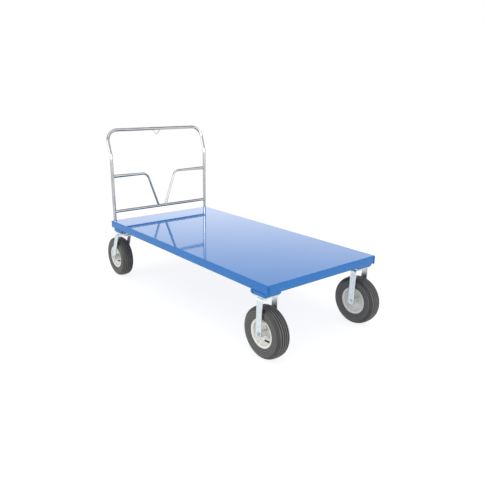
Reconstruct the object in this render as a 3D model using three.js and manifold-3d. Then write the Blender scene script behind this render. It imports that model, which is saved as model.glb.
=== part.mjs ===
// Steel platform truck: a folded sheet deck carried on two rigid and two swivel pneumatic casters,
// with a bent tube handle that stands in sockets at the swivel end and lifts out.
// Millimetres. +X points to the rigid casters (front), +Y to the left, +Z up, floor at Z = 0.

import * as THREE from 'three';
import { mergeVertices } from 'three/addons/utils/BufferGeometryUtils.js';
import Module from 'manifold-3d';

const wasm = await Module();
wasm.setup();

// ---- Driving dimensions ---------------------------------------------------------------------

// Clearances
const SEAT_GAP = 0.3; // between pieces that sit in or on each other
const RUNNING_GAP = 0.1; // radial, between turning round faces
const DRILL_GAP = 0.5; // radial, between a bolt and its hole

// Deck pan: top sheet, skirts and the return flange along the foot of the skirts
const DECK_LENGTH = 1828.8;
const DECK_WIDTH = 914.4;
const SHEET_THICKNESS = 3;
const SKIRT_DEPTH = 54;
const RETURN_FLANGE_WIDTH = 18;

// Cross channels under the sheet
const CHANNEL_THICKNESS = 4;
const MIDDLE_CHANNEL_WIDTH = 80;
const MIDDLE_CHANNEL_SPACING = 560;

// Caster shoes: shallow folded trays between the frame and the caster plates
const SHOE_LENGTH = 116;
const SHOE_WIDTH = 122;
const SHOE_DROP = 24;
const SHOE_THICKNESS = 5;
const FRONT_SHOE_INSET = 22.4; // from the front end of the deck
const REAR_SHOE_INSET = 44.4; // from the handle end of the deck
const SHOE_NOTCH_WIDTH = 10;
const SHOE_LUG_LENGTH = 14;
const SHOE_NOTCH_HEIGHT = 13;

// Casters
const CASTER_HEIGHT = 382; // floor to the top of the caster plate
const PLATE_LENGTH = 110;
const PLATE_WIDTH = 114;
const PLATE_THICKNESS = 6.4;
const PLATE_BOLT_RADIUS = 4;
const PLATE_BOLT_SPACING_X = 90;
const PLATE_BOLT_SPACING_Y = 76;
const FORK_STRAP_WIDTH = 44;
const FORK_THICKNESS = 8;
const FORK_INNER_WIDTH = 106;
const FORK_BEND_RADIUS = 20; // outside of the bend
const RIGID_FORK_OFFSET = 15; // rigid fork, ahead of its plate's centre
const SWIVEL_TRAIL = 106; // axle behind the kingpin
const SWIVEL_LEG_SETBACK = 29; // leg centre behind the kingpin, at the crown
const CROWN_RADIUS = 45;
const RACE_HEIGHT = 14;
const RACE_RADIUS = 41;
const RACE_LIP_HEIGHT = 5;
const RACE_STEP = 4;
const KINGPIN_RADIUS = 8;
const KINGPIN_HEAD_RADIUS = 15;
const KINGPIN_HEAD_HEIGHT = 7;

// Axle
const AXLE_RADIUS = 6.35;
const AXLE_HEX_RADIUS = 11; // across the corners, halved
const AXLE_HEAD_HEIGHT = 8;
const AXLE_NUT_HEIGHT = 11;
const AXLE_THREAD_END = 3;
const SLEEVE_RADIUS = 9.5;

// Wheel
const TYRE_DIAMETER = 313;
const TYRE_WIDTH = 92;
const TREAD_WIDTH = 46;
const TREAD_THICKNESS = 9;
const SHOULDER_DROP = 3; // below the tread
const SHOULDER_WIDTH = 74;
const WALL_TOP_DROP = 12; // below the tread, where the wall starts
const WALL_TOP_WIDTH = 88;
const TYRE_WALL = 6;
const RIM_FLANGE_DIAMETER = 176;
const RIM_SEAT_DIAMETER = 152;
const RIM_WELL_DIAMETER = 136;
const RIM_WIDTH = 79;
const RIM_WELL_WIDTH = 26;
const RIM_THICKNESS = 3;
const HUB_RADIUS = 21;
const HUB_LENGTH = 96;
const HUB_FLANGE_RADIUS = 37;
const HUB_FLANGE_THICKNESS = 5;
const VALVE_LENGTH = 30; // outside the rim
const VALVE_INSIDE = 5;
const VALVE_RADIUS = 4.5;
const VALVE_CAP_LENGTH = 9;
const VALVE_CAP_RADIUS = 3.8;
// Where each wheel's valve stands, in degrees up from the forward direction
const VALVE_ANGLES = { front_right: -38, front_left: 70, rear_right: -27, rear_left: 125 };

// Handle
const HANDLE_TUBE_RADIUS = 12.7;
const HANDLE_TUBE_WALL = 1.8;
const HANDLE_INSET_X = 18; // tube centre from the handle end of the deck
const HANDLE_INSET_Y = 24; // tube centre from the side of the deck
const HANDLE_RISE = 687; // deck top to the centre of the top tube
const HANDLE_LEAN_START = 498; // deck top to the lean-back bend
const HANDLE_LEAN = 17.4; // degrees from upright
const HANDLE_CORNER_RADIUS = 86;
const HANDLE_LEAN_RADIUS = 150;
const RAIL_RADIUS = 12;
const RAIL_RISE = 71; // deck top to the centre of the lower rail
const BRACE_RADIUS = 9.5;
const BRACE_RISE = 346; // deck top to the centre of the arm
const BRACE_CORNER = 131; // centre line of the deck to the corner of the arm
const BRACE_FOOT = 31; // centre line of the deck to the foot on the rail
const BRACE_BEND_RADIUS = 55;
const SMALL_TUBE_WALL = 1.5;
const LOOP_WIRE_RADIUS = 3;
const LOOP_WIDTH = 84;
const LOOP_DEPTH = 47; // top tube centre to where the two sides of the V would cross
const LOOP_TIP_RADIUS = 9;
const SOCKET_WALL = 4;
const SOCKET_FLOOR = 4;

// Facets
const WHEEL_SIDES = 20;
const HUB_SIDES = 16;
const TUBE_SIDES = 12;
const WIRE_SIDES = 8;
const HOLE_SIDES = 12;
const BEND_STEPS = 6;
const WELD_DISTANCE = 1e-4; // mesh points closer than this are one point

// ---- Worked-out places ------------------------------------------------------------------------

const TYRE_RADIUS = TYRE_DIAMETER / 2;
const DECK_TOP = CASTER_HEIGHT + SHOE_DROP + SKIRT_DEPTH;
const SKIRT_FOOT = DECK_TOP - SKIRT_DEPTH;
const SHEET_UNDERSIDE = DECK_TOP - SHEET_THICKNESS;
const PLATE_UNDERSIDE = CASTER_HEIGHT - PLATE_THICKNESS;
const HALF_WIDTH = DECK_WIDTH / 2;
const WHEEL_PLANE = HALF_WIDTH - SHOE_WIDTH / 2;
const FORK_OUTER_HALF = FORK_INNER_WIDTH / 2 + FORK_THICKNESS;

const FRONT_SHOE_X = DECK_LENGTH / 2 - FRONT_SHOE_INSET - SHOE_LENGTH / 2;
const REAR_SHOE_X = -DECK_LENGTH / 2 + REAR_SHOE_INSET + SHOE_LENGTH / 2;
const FRONT_REACH = FRONT_SHOE_X + RIGID_FORK_OFFSET + TYRE_RADIUS;
const REAR_REACH = -REAR_SHOE_X + SWIVEL_TRAIL + TYRE_RADIUS;
const DECK_SHIFT = (REAR_REACH - FRONT_REACH) / 2; // puts X = 0 midway between the tyres' far ends

const HANDLE_X = -DECK_LENGTH / 2 + HANDLE_INSET_X;
const HANDLE_Y = HALF_WIDTH - HANDLE_INSET_Y;
const SOCKET_BORE_RADIUS = HANDLE_TUBE_RADIUS + SEAT_GAP;
const SOCKET_BOTTOM = SKIRT_FOOT + SHEET_THICKNESS;
const HANDLE_FOOT_Z = SOCKET_BOTTOM + SOCKET_FLOOR + SEAT_GAP;
const TOP_TUBE_Z = DECK_TOP + HANDLE_RISE;
const LEAN_TAN = Math.tan(THREE.MathUtils.degToRad(HANDLE_LEAN));
const TOP_TUBE_X = HANDLE_X - (HANDLE_RISE - HANDLE_LEAN_START) * LEAN_TAN;

// ---- Finishes ---------------------------------------------------------------------------------

const finish = (color, roughness, metalness) => () =>
  new THREE.MeshStandardMaterial({ color, roughness, metalness });

const blueEnamel = finish(0x2a6fc4, 0.18, 0);
const brightTube = finish(0xc9cdd0, 0.18, 0.95);
const zincPlate = finish(0xc6d2d8, 0.35, 0.85);
const creamRim = finish(0xd9d9d2, 0.35, 0.4);
const tyreRubber = finish(0x3a393a, 0.85, 0);
const valveRubber = finish(0x141414, 0.7, 0);
const greySteel = finish(0x9aa0a4, 0.4, 0.9);

// ---- Solid helpers ----------------------------------------------------------------------------

const point = (x, y, z) => new THREE.Vector3(x, y, z);

// A closed geometry with shared vertices, no collapsed faces, and its faces turned outwards.
function closedSurface(geometry) {
  const bare = geometry.clone();
  for (const name of Object.keys(bare.attributes)) {
    if (name !== 'position') bare.deleteAttribute(name);
  }
  const merged = mergeVertices(bare, WELD_DISTANCE);
  const corners = merged.attributes.position;
  const kept = [];
  let volume = 0;
  for (let i = 0; i < merged.index.count; i += 3) {
    const [a, b, c] = [0, 1, 2].map((k) => merged.index.getX(i + k));
    if (a === b || b === c || c === a) continue;
    kept.push(a, b, c);
    const [p, q, r] = [a, b, c].map((v) => point(0, 0, 0).fromBufferAttribute(corners, v));
    volume += p.dot(q.cross(r));
  }
  if (volume < 0) kept.reverse();
  merged.setIndex(kept);
  return merged;
}

function toSolid(geometry) {
  const surface = closedSurface(geometry);
  const vertProperties = new Float32Array(surface.attributes.position.array);
  const triVerts = new Uint32Array(surface.index.array);
  const mesh = new wasm.Mesh({ numProp: 3, vertProperties, triVerts });
  mesh.merge();
  return new wasm.Manifold(mesh);
}

function toGeometry(solid) {
  const mesh = solid.getMesh();
  const geometry = new THREE.BufferGeometry();
  geometry.setAttribute('position', new THREE.BufferAttribute(mesh.vertProperties, 3));
  geometry.setIndex(new THREE.BufferAttribute(mesh.triVerts, 1));
  return geometry;
}

const joined = (first, ...others) => others.reduce((sum, next) => sum.add(next), first);
const cut = (body, ...tools) => tools.reduce((rest, tool) => rest.subtract(tool), body);

// A box between two opposite corners, given in any order.
function block([x0, x1], [y0, y1], [z0, z1]) {
  const size = [x1 - x0, y1 - y0, z1 - z0].map(Math.abs);
  const box = new THREE.BoxGeometry(...size);
  return toSolid(box.translate((x0 + x1) / 2, (y0 + y1) / 2, (z0 + z1) / 2));
}

// A round bar along 'y' or 'z'. The flats touch the radius of a hole, and the corners that of a bar.
function barAlong(axis, radius, from, to, sides, { hole = false } = {}) {
  const corner = hole ? radius / Math.cos(Math.PI / sides) : radius;
  const bar = new THREE.CylinderGeometry(corner, corner, Math.abs(to - from), sides);
  bar.translate(0, (from + to) / 2, 0);
  if (axis === 'z') bar.rotateX(Math.PI / 2);
  return bar;
}

const bar = (...sizes) => toSolid(barAlong(...sizes));

function barAt(place, ...sizes) {
  return toSolid(barAlong(...sizes).translate(...place));
}

// A ring or disc turned about Y from a closed [radius, y] outline, with flats facing X and Z.
function turned(outline, sides) {
  const profile = outline.map(([radius, y]) => new THREE.Vector2(radius, y));
  profile.push(profile[0].clone());
  return closedSurface(new THREE.LatheGeometry(profile, sides, Math.PI / sides));
}

// An outline in the X-Z plane given depth along Y, centred on Y = 0.
function plateAcross(shape, depth, curveSegments = BEND_STEPS) {
  const plate = new THREE.ExtrudeGeometry(shape, { depth, bevelEnabled: false, curveSegments });
  plate.translate(0, 0, -depth / 2);
  return toSolid(plate.rotateX(Math.PI / 2));
}

// An outline in the Y-Z plane given depth along X, centred on X = 0.
function plateAlong(shape, depth, curveSegments = BEND_STEPS) {
  const plate = new THREE.ExtrudeGeometry(shape, { depth, bevelEnabled: false, curveSegments });
  plate.translate(0, 0, -depth / 2);
  plate.rotateX(Math.PI / 2);
  return toSolid(plate.rotateZ(Math.PI / 2));
}

// The centre line of a bent tube: straight runs between corners, each corner rounded to a radius.
class BentLine extends THREE.Curve {
  constructor(corners, bendSteps = BEND_STEPS) {
    super();
    this.stations = [];
    corners.forEach(({ at, radius }, i) => {
      const before = corners[i - 1];
      const after = corners[i + 1];
      const arriving = before && at.clone().sub(before.at).normalize();
      const leaving = after && after.at.clone().sub(at).normalize();
      if (before && after) this.addBend(at, arriving, leaving, radius, bendSteps);
      else this.stations.push({ at, heading: arriving || leaving });
    });
  }

  addBend(corner, arriving, leaving, radius, bendSteps) {
    const turn = arriving.angleTo(leaving);
    const start = corner.clone().addScaledVector(arriving, -radius * Math.tan(turn / 2));
    const inward = leaving.clone().addScaledVector(arriving, -leaving.dot(arriving)).normalize();
    for (let step = 0; step <= bendSteps; step += 1) {
      const angle = (turn * step) / bendSteps;
      const at = start.clone().addScaledVector(arriving, radius * Math.sin(angle));
      at.addScaledVector(inward, radius * (1 - Math.cos(angle)));
      const heading = arriving.clone().multiplyScalar(Math.cos(angle));
      this.stations.push({ at, heading: heading.addScaledVector(inward, Math.sin(angle)) });
    }
  }

  get spans() {
    return this.stations.length - 1;
  }

  station(u) {
    return this.stations[Math.round(u * this.spans)];
  }

  getPointAt(u, target = new THREE.Vector3()) {
    return target.copy(this.station(u).at);
  }

  getTangentAt(u, target = new THREE.Vector3()) {
    return target.copy(this.station(u).heading).normalize();
  }
}

function sweep(line, radius, sides) {
  const section = new THREE.Shape();
  for (let side = 0; side < sides; side += 1) {
    const angle = (side * 2 * Math.PI) / sides;
    const [x, y] = [radius * Math.cos(angle), radius * Math.sin(angle)];
    if (side === 0) section.moveTo(x, y);
    else section.lineTo(x, y);
  }
  const options = { steps: line.spans, extrudePath: line, bevelEnabled: false };
  return toSolid(new THREE.ExtrudeGeometry(section, options));
}

// A hollow tube along a bent line, open at both ends.
function tube(line, radius, wall) {
  return cut(sweep(line, radius, TUBE_SIDES), sweep(line, radius - wall, TUBE_SIDES));
}

function part(name, shape, material) {
  const mesh = new THREE.Mesh(shape.isBufferGeometry ? shape : toGeometry(shape), material());
  mesh.name = name;
  return mesh;
}

// ---- Deck and underframe ----------------------------------------------------------------------

// Folded pan: top sheet, four skirts and a return flange, with two holes for the handle's feet.
function deckSheet() {
  const halfLength = DECK_LENGTH / 2;
  const wall = SHEET_THICKNESS;
  const mouth = wall + RETURN_FLANGE_WIDTH;
  const spread = (half, inset) => [-half + inset, half - inset];
  const feet = [-1, 1].map((side) => {
    const place = [HANDLE_X, side * HANDLE_Y, 0];
    return barAt(place, 'z', SOCKET_BORE_RADIUS, SKIRT_FOOT, DECK_TOP + wall, TUBE_SIDES, { hole: true });
  });
  return cut(
    block(spread(halfLength, 0), spread(HALF_WIDTH, 0), [SKIRT_FOOT, DECK_TOP]),
    block(spread(halfLength, wall), spread(HALF_WIDTH, wall), [SKIRT_FOOT + wall, SHEET_UNDERSIDE]),
    block(spread(halfLength, mouth), spread(HALF_WIDTH, mouth), [SKIRT_FOOT - wall, SKIRT_FOOT + wall * 2]),
    ...feet,
  );
}

// Channel across the deck, its web level with the return flanges and its sides up to the sheet.
function crossChannel(x, width) {
  const inset = SHEET_THICKNESS + RETURN_FLANGE_WIDTH + SEAT_GAP;
  const halfSpan = HALF_WIDTH - inset;
  const reach = DECK_LENGTH / 2 - inset;
  const wall = CHANNEL_THICKNESS;
  const span = [-halfSpan, halfSpan];
  const cutSpan = [-halfSpan - wall, halfSpan + wall];
  const outside = [Math.max(x - width / 2, -reach), Math.min(x + width / 2, reach)];
  const inside = [outside[0] + wall, outside[1] - wall];
  return cut(
    block(outside, span, [SKIRT_FOOT, SHEET_UNDERSIDE]),
    block(inside, cutSpan, [SKIRT_FOOT + wall, SHEET_UNDERSIDE + wall]),
  );
}

// Four upright holes about the plate's centre, for the bolts that hold it to its shoe.
function plateBoltHoles([low, high]) {
  const radius = PLATE_BOLT_RADIUS + DRILL_GAP;
  return [-1, 1].flatMap((endways) =>
    [-1, 1].map((sideways) => {
      const place = [(endways * PLATE_BOLT_SPACING_X) / 2, (sideways * PLATE_BOLT_SPACING_Y) / 2, 0];
      return barAt(place, 'z', radius, low, high, HOLE_SIDES, { hole: true });
    }),
  );
}

// Folded tray, open towards the middle of the deck. end and side are +1 at the front and the left.
function casterShoe(end, side) {
  const wall = SHOE_THICKNESS;
  const outer = (side * SHOE_WIDTH) / 2;
  const inner = -outer;
  const shut = (end * SHOE_LENGTH) / 2;
  const open = -shut;
  const notch = open + end * SHOE_LUG_LENGTH;
  const notchWidth = [notch, notch + end * SHOE_NOTCH_WIDTH];
  const throughOuter = [outer - side * 2 * wall, outer + side * wall];
  const notchTop = CASTER_HEIGHT + wall + SHOE_NOTCH_HEIGHT;
  return cut(
    block([open, shut], [inner, outer], [CASTER_HEIGHT, SKIRT_FOOT]),
    block(
      [open - end * wall, shut - end * wall],
      [inner + side * wall, outer - side * wall],
      [CASTER_HEIGHT + wall, SKIRT_FOOT + wall],
    ),
    block(notchWidth, throughOuter, [CASTER_HEIGHT + wall, notchTop]),
    ...plateBoltHoles([CASTER_HEIGHT - wall, CASTER_HEIGHT + 2 * wall]),
  );
}

// Square block under the sheet in the deck's corner, bored blind for a foot of the handle.
function handleSocket(side) {
  const skirtX = -DECK_LENGTH / 2 + SHEET_THICKNESS;
  const skirtY = side * (HALF_WIDTH - SHEET_THICKNESS);
  const freeX = HANDLE_X + SOCKET_BORE_RADIUS + SOCKET_WALL;
  const freeY = side * (HANDLE_Y - SOCKET_BORE_RADIUS - SOCKET_WALL);
  const bore = barAt(
    [HANDLE_X, side * HANDLE_Y, 0],
    'z',
    SOCKET_BORE_RADIUS,
    SOCKET_BOTTOM + SOCKET_FLOOR,
    DECK_TOP,
    TUBE_SIDES,
    { hole: true },
  );
  return cut(block([skirtX, freeX], [skirtY, freeY], [SOCKET_BOTTOM, SHEET_UNDERSIDE]), bore);
}

// ---- Handle -----------------------------------------------------------------------------------

// One tube from foot to foot: upright, leaned back, round the corners and across the top.
function handleTube() {
  const leanZ = DECK_TOP + HANDLE_LEAN_START;
  const half = (side) => [
    { at: point(HANDLE_X, side * HANDLE_Y, HANDLE_FOOT_Z) },
    { at: point(HANDLE_X, side * HANDLE_Y, leanZ), radius: HANDLE_LEAN_RADIUS },
    { at: point(TOP_TUBE_X, side * HANDLE_Y, TOP_TUBE_Z), radius: HANDLE_CORNER_RADIUS },
  ];
  const line = new BentLine([...half(-1), ...half(1).reverse()]);
  return tube(line, HANDLE_TUBE_RADIUS, HANDLE_TUBE_WALL);
}

// What a cross member is cut back by where it meets an upright.
function uprightCut(side) {
  const place = [HANDLE_X, side * HANDLE_Y, 0];
  const top = DECK_TOP + HANDLE_LEAN_START;
  return barAt(place, 'z', HANDLE_TUBE_RADIUS + SEAT_GAP, DECK_TOP, top, TUBE_SIDES * 2, { hole: true });
}

function lowerRail() {
  const z = DECK_TOP + RAIL_RISE;
  const line = new BentLine([
    { at: point(HANDLE_X, -HANDLE_Y, z) },
    { at: point(HANDLE_X, HANDLE_Y, z) },
  ]);
  return cut(tube(line, RAIL_RADIUS, SMALL_TUBE_WALL), uprightCut(-1), uprightCut(1));
}

// Arm that runs in from an upright, then bends down to the lower rail.
function brace(side) {
  const railZ = DECK_TOP + RAIL_RISE;
  const armZ = DECK_TOP + BRACE_RISE;
  const line = new BentLine([
    { at: point(HANDLE_X, side * HANDLE_Y, armZ) },
    { at: point(HANDLE_X, side * BRACE_CORNER, armZ), radius: BRACE_BEND_RADIUS },
    { at: point(HANDLE_X, side * BRACE_FOOT, railZ) },
  ]);
  const railCut = barAt(
    [HANDLE_X, 0, railZ],
    'y',
    RAIL_RADIUS + SEAT_GAP,
    -HANDLE_Y,
    HANDLE_Y,
    TUBE_SIDES * 2,
    { hole: true },
  );
  return cut(tube(line, BRACE_RADIUS, SMALL_TUBE_WALL), uprightCut(side), railCut);
}

// Bent wire V under the middle of the top tube, lying in the plane of the leaned-back part.
function hangLoop() {
  const down = point(LEAN_TAN, 0, -1).normalize();
  const topTube = point(TOP_TUBE_X, 0, TOP_TUBE_Z);
  const tip = topTube.clone().addScaledVector(down, LOOP_DEPTH);
  const end = (side) => topTube.clone().add(point(0, (side * LOOP_WIDTH) / 2, 0));
  const line = new BentLine([{ at: end(-1) }, { at: tip, radius: LOOP_TIP_RADIUS }, { at: end(1) }]);
  const tubeCut = barAt(
    [TOP_TUBE_X, 0, TOP_TUBE_Z],
    'y',
    HANDLE_TUBE_RADIUS + SEAT_GAP,
    -LOOP_WIDTH,
    LOOP_WIDTH,
    TUBE_SIDES * 2,
    { hole: true },
  );
  return cut(sweep(line, LOOP_WIRE_RADIUS, WIRE_SIDES), tubeCut);
}

// ---- Casters, each about its own plate centre with the floor at Z = 0 -------------------------

function casterPlate(hasKingpin) {
  const halves = (size) => [-size / 2, size / 2];
  const plate = block(halves(PLATE_LENGTH), halves(PLATE_WIDTH), [PLATE_UNDERSIDE, CASTER_HEIGHT]);
  const through = [PLATE_UNDERSIDE - PLATE_THICKNESS, CASTER_HEIGHT + PLATE_THICKNESS];
  const holes = plateBoltHoles(through);
  if (hasKingpin) {
    holes.push(bar('z', KINGPIN_RADIUS + SEAT_GAP, ...through, HOLE_SIDES, { hole: true }));
  }
  return cut(plate, ...holes);
}

// Upside-down U in the Y-Z plane: crown on top, bend radius outside, legs down past the axle.
function forkSection(crownTop) {
  const outer = FORK_OUTER_HALF;
  const inner = FORK_INNER_WIDTH / 2;
  const bend = FORK_BEND_RADIUS;
  const innerBend = bend - FORK_THICKNESS;
  const crownUnderside = crownTop - FORK_THICKNESS;
  const section = new THREE.Shape();
  section.moveTo(-outer, 0);
  section.lineTo(-outer, crownTop - bend);
  section.absarc(-outer + bend, crownTop - bend, bend, Math.PI, Math.PI / 2, true);
  section.lineTo(outer - bend, crownTop);
  section.absarc(outer - bend, crownTop - bend, bend, Math.PI / 2, 0, true);
  section.lineTo(outer, 0);
  section.lineTo(inner, 0);
  section.lineTo(inner, crownUnderside - innerBend);
  section.absarc(inner - innerBend, crownUnderside - innerBend, innerBend, 0, Math.PI / 2, false);
  section.lineTo(-inner + innerBend, crownUnderside);
  section.absarc(-inner + innerBend, crownUnderside - innerBend, innerBend, Math.PI / 2, Math.PI, false);
  section.lineTo(-inner, 0);
  return section;
}

// Side view of a leg: a strap with a round end about the axle, up to the crown at topX.
function legOutline(axleX, topX, crownTop) {
  const half = FORK_STRAP_WIDTH / 2;
  const lean = Math.atan2(topX - axleX, crownTop - TYRE_RADIUS);
  const halfAtTop = half / Math.cos(lean);
  const leg = new THREE.Shape();
  leg.moveTo(topX - halfAtTop, crownTop);
  leg.lineTo(axleX - half * Math.cos(lean), TYRE_RADIUS + half * Math.sin(lean));
  leg.absarc(axleX, TYRE_RADIUS, half, Math.PI - lean, 2 * Math.PI - lean, false);
  leg.lineTo(topX + halfAtTop, crownTop);
  return leg;
}

function axleHole(axleX) {
  const reach = FORK_OUTER_HALF * 2;
  const place = [axleX, 0, TYRE_RADIUS];
  return barAt(place, 'y', AXLE_RADIUS + SEAT_GAP, -reach, reach, HOLE_SIDES, { hole: true });
}

function rigidFork() {
  const axleX = RIGID_FORK_OFFSET;
  const section = forkSection(PLATE_UNDERSIDE);
  const strap = plateAlong(section, 2 * (RIGID_FORK_OFFSET + FORK_STRAP_WIDTH));
  const legs = plateAcross(legOutline(axleX, axleX, PLATE_UNDERSIDE), 3 * FORK_OUTER_HALF);
  return cut(strap.intersect(legs), axleHole(axleX));
}

// Raked legs under a crown that is round about the kingpin.
function swivelFork() {
  const axleX = -SWIVEL_TRAIL;
  const crownTop = PLATE_UNDERSIDE - RACE_HEIGHT;
  const crownUnderside = crownTop - FORK_THICKNESS;
  const strap = plateAlong(forkSection(crownTop), 2 * (SWIVEL_TRAIL + FORK_STRAP_WIDTH));
  const legs = plateAcross(legOutline(axleX, -SWIVEL_LEG_SETBACK, crownTop), 3 * FORK_OUTER_HALF);
  const crown = bar('z', CROWN_RADIUS, crownUnderside, crownTop, HUB_SIDES);
  const kingpinHole = bar(
    'z',
    KINGPIN_RADIUS + RUNNING_GAP,
    crownUnderside - FORK_THICKNESS,
    crownTop + FORK_THICKNESS,
    HOLE_SIDES,
    { hole: true },
  );
  return cut(joined(strap.intersect(legs), crown), kingpinHole, axleHole(axleX));
}

// Bearing race pressed on the underside of the plate, stepped in towards the crown.
function swivelRace() {
  const low = PLATE_UNDERSIDE - RACE_HEIGHT + SEAT_GAP;
  const lip = PLATE_UNDERSIDE - RACE_LIP_HEIGHT;
  return cut(
    joined(
      bar('z', RACE_RADIUS, lip, PLATE_UNDERSIDE, HUB_SIDES),
      bar('z', RACE_RADIUS - RACE_STEP, low, lip, HUB_SIDES),
    ),
    bar('z', KINGPIN_RADIUS + SEAT_GAP, low - RACE_HEIGHT, CASTER_HEIGHT, HOLE_SIDES, { hole: true }),
  );
}

// Rivet through plate, race and crown, headed under the crown.
function kingpin() {
  const crownUnderside = PLATE_UNDERSIDE - RACE_HEIGHT - FORK_THICKNESS;
  const headTop = crownUnderside - SEAT_GAP;
  return joined(
    bar('z', KINGPIN_RADIUS, headTop - KINGPIN_HEAD_HEIGHT, CASTER_HEIGHT, HOLE_SIDES),
    bar('z', KINGPIN_HEAD_RADIUS, headTop - KINGPIN_HEAD_HEIGHT, headTop, HOLE_SIDES),
  );
}

// Hex bolt across the fork: head on the inner side, thread end past the nut on the outer side.
function axleBolt(side) {
  const headSeat = -side * (FORK_OUTER_HALF + SEAT_GAP);
  const tail = side * (FORK_OUTER_HALF + SEAT_GAP + AXLE_NUT_HEIGHT + AXLE_THREAD_END);
  const headEnd = headSeat - side * AXLE_HEAD_HEIGHT;
  return joined(
    bar('y', AXLE_RADIUS, headEnd, tail, HOLE_SIDES),
    bar('y', AXLE_HEX_RADIUS, headEnd, headSeat, 6),
  );
}

function axleNut(side) {
  const seat = side * (FORK_OUTER_HALF + SEAT_GAP);
  const top = seat + side * AXLE_NUT_HEIGHT;
  const beyond = seat + side * 2 * AXLE_NUT_HEIGHT;
  const thread = bar('y', AXLE_RADIUS + SEAT_GAP, -beyond, beyond, HOLE_SIDES, { hole: true });
  return cut(bar('y', AXLE_HEX_RADIUS, seat, top, 6), thread);
}

// Inner race sleeve clamped between the fork's legs; the hub turns on it.
function axleSleeve() {
  const half = FORK_INNER_WIDTH / 2 - SEAT_GAP;
  return cut(
    bar('y', SLEEVE_RADIUS, -half, half, HUB_SIDES),
    bar('y', AXLE_RADIUS + SEAT_GAP, -2 * half, 2 * half, HOLE_SIDES, { hole: true }),
  );
}

// Pneumatic tyre: an open C in section, its beads seated inside the rim's flanges.
function tyre() {
  const tread = TYRE_RADIUS / Math.cos(Math.PI / WHEEL_SIDES);
  const flange = RIM_FLANGE_DIAMETER / 2 + SEAT_GAP;
  const seat = RIM_SEAT_DIAMETER / 2 + SEAT_GAP;
  const beadHalf = RIM_WIDTH / 2 - RIM_THICKNESS - SEAT_GAP;
  const side = TYRE_WIDTH / 2;
  const middle = (tread + flange) / 2;
  const half = [
    [tread, TREAD_WIDTH / 2],
    [tread - SHOULDER_DROP, SHOULDER_WIDTH / 2],
    [tread - WALL_TOP_DROP, WALL_TOP_WIDTH / 2],
    [middle, side],
    [flange, RIM_WIDTH / 2 + RIM_THICKNESS],
    [flange, beadHalf],
    [seat, beadHalf - RIM_THICKNESS],
    [seat, beadHalf - 2 * TYRE_WALL],
    [flange + TYRE_WALL, beadHalf],
    [middle, side - TYRE_WALL],
    [tread - SHOULDER_DROP - 2 * TYRE_WALL, SHOULDER_WIDTH / 2 - TYRE_WALL / 2],
    [tread - TREAD_THICKNESS, TREAD_WIDTH / 2],
  ];
  const mirrored = half.map(([radius, y]) => [radius, -y]).reverse();
  return turned([...half, ...mirrored], WHEEL_SIDES);
}

// Bearing hub: a tube with one flange bolted against the outer face of the rim's disc.
function hub(side) {
  const bore = (SLEEVE_RADIUS + RUNNING_GAP) / Math.cos(Math.PI / HUB_SIDES);
  const half = HUB_LENGTH / 2;
  const flangeSeat = RIM_THICKNESS + SEAT_GAP;
  const flangeTop = flangeSeat + HUB_FLANGE_THICKNESS;
  const outline = [
    [bore, -half],
    [HUB_RADIUS, -half],
    [HUB_RADIUS, flangeSeat],
    [HUB_FLANGE_RADIUS, flangeSeat],
    [HUB_FLANGE_RADIUS, flangeTop],
    [HUB_RADIUS, flangeTop],
    [HUB_RADIUS, half],
    [bore, half],
  ];
  return turned(outline.map(([radius, y]) => [radius, side * y]), HUB_SIDES);
}

// Sets a shape made along +Y from the origin square on the sloped outer side of the rim's well.
function ontoWellSlope(geometry, side, valveAngle) {
  const slope = (RIM_SEAT_DIAMETER - RIM_WELL_DIAMETER) / 2;
  const radius = RIM_WELL_DIAMETER / 2 - RIM_THICKNESS + slope / 2;
  const angle = THREE.MathUtils.degToRad(valveAngle);
  const spoke = point(Math.cos(angle), 0, Math.sin(angle));
  const direction = point(0, side, 0).sub(spoke).normalize();
  const foot = spoke.multiplyScalar(radius).setY(side * (RIM_WELL_WIDTH / 2 + slope / 2));
  geometry.applyQuaternion(new THREE.Quaternion().setFromUnitVectors(point(0, 1, 0), direction));
  return geometry.translate(foot.x, foot.y, foot.z);
}

// Steel rim: flanges, bead seats and well outside, a flat disc in the middle bored for the hub.
function rim(side, valveAngle) {
  const wall = RIM_THICKNESS;
  const flange = RIM_FLANGE_DIAMETER / 2;
  const seat = RIM_SEAT_DIAMETER / 2;
  const well = RIM_WELL_DIAMETER / 2;
  const half = RIM_WIDTH / 2;
  const wellHalf = RIM_WELL_WIDTH / 2;
  const slope = seat - well;
  const upper = [
    [well, wellHalf],
    [seat, wellHalf + slope],
    [seat, half - 2 * wall],
    [flange, half - wall],
    [flange, half],
    [seat - wall, half - wall],
    [seat - wall, wellHalf + slope],
    [well - wall, wellHalf],
    [well - wall, wall],
    [HUB_RADIUS + SEAT_GAP, wall],
  ];
  const lower = upper.map(([radius, y]) => [radius, -y]).reverse();
  const radius = VALVE_RADIUS + SEAT_GAP;
  const hole = barAlong('y', radius, -VALVE_LENGTH, VALVE_LENGTH, WIRE_SIDES, { hole: true });
  return cut(
    toSolid(turned([...upper, ...lower], WHEEL_SIDES)),
    toSolid(ontoWellSlope(hole, side, valveAngle)),
  );
}

// Rubber-covered valve that passes through the rim and leans in over the disc.
function valveStem(side, valveAngle) {
  const outline = [
    [0, -VALVE_INSIDE],
    [VALVE_RADIUS, -VALVE_INSIDE],
    [VALVE_RADIUS, VALVE_LENGTH - VALVE_CAP_LENGTH],
    [VALVE_CAP_RADIUS, VALVE_LENGTH - VALVE_CAP_LENGTH],
    [VALVE_CAP_RADIUS, VALVE_LENGTH],
    [0, VALVE_LENGTH],
  ];
  const profile = outline.map(([radius, y]) => new THREE.Vector2(radius, y));
  const stem = new THREE.LatheGeometry(profile, WIRE_SIDES);
  return closedSurface(ontoWellSlope(stem, side, valveAngle));
}

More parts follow.
